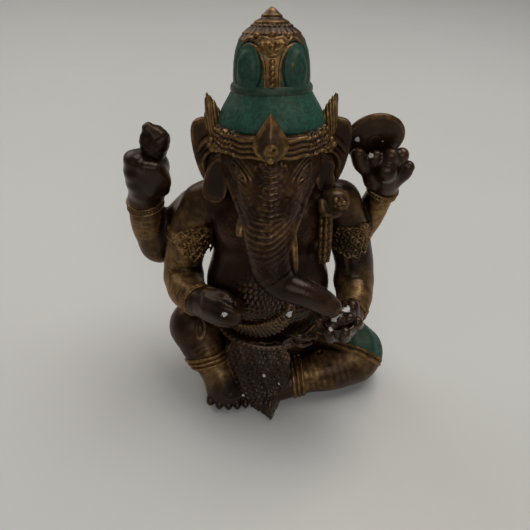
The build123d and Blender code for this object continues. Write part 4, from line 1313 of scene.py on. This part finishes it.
# node: (lattice step, recipe, material slot, how gold it is, green paint)
RECIPES = {node: bronze(flesh_piece(node), gold, step) for node, (step, gold) in BODY_LOOKS.items()}
RECIPES.update({
    "right_ear": bronze(ear_recipe(-1), 0.28),
    "left_ear": bronze(ear_recipe(1), 0.28),
    "right_tusk": brass(plain([rope(TUSK_R)]), 0.2),
    "left_tusk": brass(plain([rope(TUSK_L)]), 0.8),
    "crown_brim": painted(plain([leaning(BRIM)], 0, brim_over), 0.3, 1.0),
    "crown_ring": painted(plain([leaning(RING)]), 0.4, 0.8),
    "crown_dome": (FINE, dome_recipe, "dark_bronze", 0.5, dome_green),
    "crown_panels": painted(panels_recipe, 0.2, 0.95),
    "crown_crest": brass(plain([leaning(form) for form in crest_forms()], 0.35), 0.75, FINEST),
    "crown_finial": brass(plain([leaning(FINIAL)]), 0.25),
    "diadem_band": brass(diadem_recipe, 0.3, DENSE),
    "diadem_plate": brass(plate_recipe, 0.36, FINEST),
    "right_ear_flame": brass(flame_recipe(-1), 0.6, FINEST),
    "left_ear_flame": brass(flame_recipe(1), 0.6, FINEST),
    "right_armband": brass(armband_recipe("right_upper_arm", *ARM_R_LINE, 1.4, 10.8, -25), 0.95),
    "left_armband": brass(armband_recipe("left_upper_arm", *ARM_L_LINE, 1.4, 10.8, -10), 0.9),
    "right_bracelet": brass(bracelet(*FOREARM_R_LINE, 26.4, 1.5, 10.5), 0.5),
    "left_bracelet": brass(bracelet(*FOREARM_L_LINE, 22.6, 1.9, 10.5), 0.4),
    "rear_right_bracelet": brass(bracelet(*REAR_R_LINE, 15.4, 2.3, 12.5), 0.5),
    "rear_left_bracelet": brass(bracelet(*REAR_L_LINE, 21.4, 2.0, 11), 0.6),
    "right_anklet": brass(ring_band(*SHIN_R_LINE, (13.0, 15.6, 18.2), 1.1, 14), 0.55),
    "left_anklet": brass(ring_band(*SHIN_L_LINE, (30.6, 33.2, 35.8), 1.1, 13), 0.55),
    "shoulder_clasp": brass(clasp_recipe, 0.0),
    "sacred_thread": brass(thread_recipe, 0.12),
    "apron_fringe": bronze(fringe_recipe, 0.35),
    "belt": bronze(belt_recipe, 0.05, MEDIUM),
    "sash_knot": bronze(knot_recipe, 0.35),
    "loin_tail": bronze(tail_recipe, 0.1),
    "thigh_cloth": painted(cloth_recipe, 0.1, 1.0),
    "thigh_border": brass(border_recipe, 0.95),
    "chakra": brass(chakra_recipe, 0.1),
    "bowl": bronze(bowl_recipe, 0.05),
    "sweets": bronze(sweets_recipe, 0.05),
    "axe_stub": bronze(axe_recipe, 0.0),
    "base_plate": (PLATE_STEP, base_recipe, "plate", 0.05, None),
})


# how far a casting may reach outside its forms' boxes, and outside the box of its CAD piece
BODY_SPARE, SPARE = 2.5, 4.5
LONG_SPARE = {"loin_tail": 14.0}
LOWEST = -1.5


def node_block(node, step):
    """The block that holds a node: its forms' boxes, or the box of the CAD piece it stands for."""
    own = [form for name, form, _, _ in FLESH if name == node]
    if own:
        low = np.min([form.low for form in own], axis=0) - BODY_SPARE
        high = np.max([form.high for form in own], axis=0) + BODY_SPARE
    else:
        low, high = (np.array(corner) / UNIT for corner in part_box(node))
        spare = LONG_SPARE.get(node, SPARE)
        low, high = low - spare, high + spare
    low[2] = max(low[2], LOWEST)
    return Block(low, high, step * COARSE)


def sculpt(node):
    """The mesh data of one node's casting."""
    step, recipe, *_ = RECIPES[node]
    block = node_block(node, step)
    solid, relief = recipe(block)
    return skin(block, np.asarray(solid, np.float32), np.asarray(relief, np.float32))


# ---------------------------------------------------------------- materials
class Signal:
    """What a node puts out. Signals add, subtract and multiply like numbers."""

    def __init__(self, graph, socket):
        self.graph, self.socket = graph, socket

    def __add__(self, other):
        return self.graph.math("ADD", self, other)

    def __sub__(self, other):
        return self.graph.math("SUBTRACT", self, other)

    def __rsub__(self, other):
        return self.graph.math("SUBTRACT", other, self)

    def __mul__(self, other):
        return self.graph.math("MULTIPLY", self, other)

    __radd__, __rmul__ = __add__, __mul__


class Graph:
    """A material's node tree."""

    def __init__(self, name):
        self.material = bpy.data.materials.new(name)
        self.material.use_nodes = True
        self.nodes, self.links = self.material.node_tree.nodes, self.material.node_tree.links
        self.nodes.clear()
        self.where = Signal(self, self.nodes.new("ShaderNodeTexCoord").outputs["Object"])

    def put(self, socket, value):
        """Gives a socket a signal, a colour or a number."""
        if isinstance(value, Signal):
            self.links.new(value.socket, socket)
        else:
            socket.default_value = (*value, 1.0) if isinstance(value, tuple) else value

    def node(self, kind, inputs, output, **settings):
        """A new node with its settings and inputs filled in, as the signal of one of its outputs."""
        node = self.nodes.new(kind)
        for key, value in settings.items():
            setattr(node, key, value)
        for key, value in inputs.items():
            self.put(node.inputs[key], value)
        return Signal(self, node.outputs[output])

    def noise(self, scale, detail=4.0, rough=0.55, warp=0.0):
        inputs = {"Vector": self.where, "Scale": scale, "Detail": detail,
                  "Roughness": rough, "Distortion": warp}
        return self.node("ShaderNodeTexNoise", inputs, "Fac")

    def attribute(self, name):
        return self.node("ShaderNodeAttribute", {}, "Fac", attribute_name=name)

    def math(self, operation, a, b):
        return self.node("ShaderNodeMath", {0: a, 1: b}, 0, operation=operation)

    def remap(self, value, low, high):
        """0 at low, 1 at high and smooth between."""
        inputs = {"Value": value, "From Min": low, "From Max": high}
        return self.node("ShaderNodeMapRange", inputs, "Result", interpolation_type="SMOOTHSTEP")

    def mix(self, share, a, b):
        return self.node("ShaderNodeMix", {"Factor": share, "A": a, "B": b}, "Result", data_type="RGBA")

    def finish(self, colour, metallic, roughness, coat, coat_rough, height, depth, specular=0.5):
        """The material, with a surface of these signals that a height in metres of depth bumps."""
        normal = self.node("ShaderNodeBump", {"Distance": depth, "Strength": 1.0, "Height": height}, "Normal")
        surface = self.node("ShaderNodeBsdfPrincipled", {
            "Base Color": colour, "Metallic": metallic, "Roughness": roughness,
            "Coat Weight": coat, "Coat Roughness": coat_rough,
            "Specular IOR Level": specular, "Specular Tint": WARM_TINT,
            "Normal": normal, "Coat Normal": normal}, "BSDF")
        self.put(self.nodes.new("ShaderNodeOutputMaterial").inputs["Surface"], surface)
        return self.material


WARM_TINT = (1.0, 0.72, 0.52)
DARK, WARM = (0.0145, 0.0062, 0.0038), (0.040, 0.0150, 0.0075)
BRASS, PALE_BRASS, BRIGHT_BRASS = (0.115, 0.058, 0.019), (0.27, 0.165, 0.068), (0.31, 0.18, 0.07)
BAND_DARK, BAND_WARM = (0.024, 0.0118, 0.006), (0.046, 0.0222, 0.0098)
GREEN, PALE_GREEN = (0.009, 0.048, 0.034), (0.022, 0.090, 0.064)
PLATE_BRASS, PALE_PLATE = (0.06, 0.038, 0.018), (0.08, 0.05, 0.028)
# the pale colour of the painted glints
PAINTED_GLINT_WHITE = (0.56, 0.56, 0.54)
GRAIN_DEPTH = 0.00022                   # metres


def faded(colour, share):
    return tuple(share * c for c in colour)


def cast_metal(name, dark=DARK, warm=WARM, brass=BRASS, pale_brass=PALE_BRASS, edges=0.3):
    """Cast metal under a dark lacquered patina, rubbed to brass on what stands proud, and painted in places.

    The blends follow the mesh's attributes and three noises: blotches, mottling and grain. Spots of painted
    shade darken it, and pale spots stand for painted glints.
    """
    g = Graph(name)
    blotch, mottle, grain = g.noise(85, 2.5), g.noise(300, 4.0, 0.55, 0.4), g.noise(2200, 3.0)
    proud, hollow, gold, paint = (g.attribute(key) for key in ("proud", "hollow", "gold", "paint"))
    dim, glint_mask, shine = (g.attribute(key) for key in ("dim", "chip", "gloss"))
    raised = g.remap(proud, 0.015, 0.16)
    sunk = g.remap(proud + hollow * 0.35, -0.03, -0.3)
    spread = blotch * 0.78 + mottle * 0.22
    wear = g.remap(gold + raised * edges + (spread - 0.5) * 1.1 - sunk * 0.6, 0.1, 1.05)

    brown = g.mix(g.remap(blotch, 0.35, 0.68), dark, warm)
    brown = g.mix(sunk * 0.8, brown, faded(dark, 0.3))
    metal = g.mix(g.remap(mottle, 0.3, 0.72), brass, pale_brass)
    colour = g.mix(wear, brown, metal)
    # darker patina where the spots lie on the hands and bowl, painted shade where they lie under the trunk
    # and belly and beside the arms
    colour = g.mix(dim * 0.8, colour, faded(dark, 0.35))

    scuff = g.remap(raised * 0.25 + mottle, 0.78, 1.0)
    cover = paint * (1.0 - scuff * 0.8)
    streaks = g.mix(g.remap(g.noise(260, 5.0, 0.65, 1.5), 0.36, 0.66), GREEN, PALE_GREEN)
    streaks = g.mix(sunk * 0.7, streaks, faded(GREEN, 0.25))
    # the green paint takes the same darker patina and painted shade, most of all on the thigh's cloth
    streaks = g.mix(dim * 0.7, streaks, faded(GREEN, 0.3))
    colour = g.mix(cover, colour, streaks)
    # painted highlights: pale spots for glints of light, with no metal or coat under them
    chip = g.remap(glint_mask + (g.noise(650, 3.0) - 0.5) * 1.1, 0.52, 0.6)
    colour = g.mix(chip, colour, PAINTED_GLINT_WHITE)

    bare = (1.0 - cover) * (1.0 - chip)
    metallic = (wear * 0.5 + 0.25) * bare
    matt = 0.36 - shine * 0.16
    roughness = mottle * 0.16 + (matt - 0.08 + cover * 0.12)
    coat = (0.06 + shine * 0.45) * bare
    coat_rough = 0.07 + (1.0 - shine) * 0.14
    height = mottle * 0.8 + grain * 0.12
    return g.finish(colour, metallic, roughness, coat, coat_rough, height, GRAIN_DEPTH, 0.3)


MATERIALS = {
    "dark_bronze": cast_metal("dark_bronze"),
    "rubbed_brass": cast_metal("rubbed_brass", BAND_DARK, BAND_WARM, BRASS, BRIGHT_BRASS, 0.55),
    "green_paint": cast_metal("green_paint"),
    "plate": cast_metal("plate", brass=PLATE_BRASS, pale_brass=PALE_PLATE),
}

# ---------------------------------------------------------------- build
with ThreadPoolExecutor(4) as pool:
    sculpted = dict(zip(RECIPES, pool.map(sculpt, RECIPES)))
for node, data in sculpted.items():
    _, _, slot, gold, green = RECIPES[node]
    piece = make_object("cast_" + node, data, MATERIALS[slot], tint(gold, green))
    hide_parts(node)


# ---------------------------------------------------------------- table top, light and camera
TABLE_HALF, TABLE_CUTS, TABLE_DROP = 1.6, 24, 0.0001        # metres, squares a side, metres
TABLE_GREY, TABLE_PALE = (0.585, 0.585, 0.565), (0.625, 0.625, 0.61)


def table_top():
    """A square of table, cut into smaller squares."""
    mesh = bpy.data.meshes.new("table_top")
    row = TABLE_CUTS + 1
    places = np.linspace(-TABLE_HALF, TABLE_HALF, row)
    points = [(x, y, -TABLE_DROP) for y in places for x in places]
    starts = [j * row + i for j in range(TABLE_CUTS) for i in range(TABLE_CUTS)]
    mesh.from_pydata(points, [], [(k, k + 1, k + row + 1, k + row) for k in starts])
    g = Graph("table_top")
    colour = g.mix(g.noise(5.0, 2.0), TABLE_GREY, TABLE_PALE)
    roughness = 0.42 + g.noise(60, 3.0) * 0.12
    mesh.materials.append(g.finish(colour, 0.0, roughness, 0.0, 0.2, g.noise(900, 3.0), 0.00002))
    obj = bpy.data.objects.new("table_top", mesh)
    bpy.context.scene.collection.objects.link(obj)


def area_light(name, place, target, size, power, colour):
    """A rectangular lamp at a place, turned to a target."""
    lamp = bpy.data.lights.new(name, "AREA")
    lamp.shape, lamp.size, lamp.size_y = "RECTANGLE", size[0], size[1]
    lamp.energy, lamp.color = power, colour
    obj = bpy.data.objects.new(name, lamp)
    obj.location = place
    obj.rotation_euler = (Vector(target) - Vector(place)).to_track_quat("-Z", "Y").to_euler()
    bpy.context.scene.collection.objects.link(obj)


table_top()
CHEST = (0, 0, 100 * UNIT)
# places and sizes in metres, power in watts
area_light("window", (0.36, 0.3, 1.3), CHEST, (1.1, 0.9), 11.0, (1.0, 0.99, 0.96))
area_light("front_fill", (0.1, -1.2, 0.9), CHEST, (1.2, 0.8), 4.2, (0.98, 0.98, 1.0))
area_light("left_fill", (-0.8, 0.9, 1.0), CHEST, (1.0, 1.0), 5.0, (1.0, 0.98, 0.95))

WORLD_GREY, WORLD_STRENGTH = (0.62, 0.62, 0.60, 1.0), 0.22
world = bpy.data.worlds.new("room")
world.use_nodes = True
background = world.node_tree.nodes["Background"]
background.inputs["Color"].default_value = WORLD_GREY
background.inputs["Strength"].default_value = WORLD_STRENGTH
bpy.context.scene.world = world
bpy.context.scene.view_settings.view_transform = "Standard"

SENSOR, FOCAL_LENGTH = 36.0, 36.07      # millimetres
CAMERA_PLACE = (-1.5, -238.0, 252.4)    # in the figure's units
CAMERA_TILT = 52.0                      # degrees up from straight down
lens = bpy.data.cameras.new("camera")
lens.sensor_width, lens.lens = SENSOR, FOCAL_LENGTH
camera = bpy.data.objects.new("camera", lens)
camera.location = [part * UNIT for part in CAMERA_PLACE]
camera.rotation_euler = (math.radians(CAMERA_TILT), 0.0, 0.0)
bpy.context.scene.collection.objects.link(camera)
bpy.context.scene.camera = camera
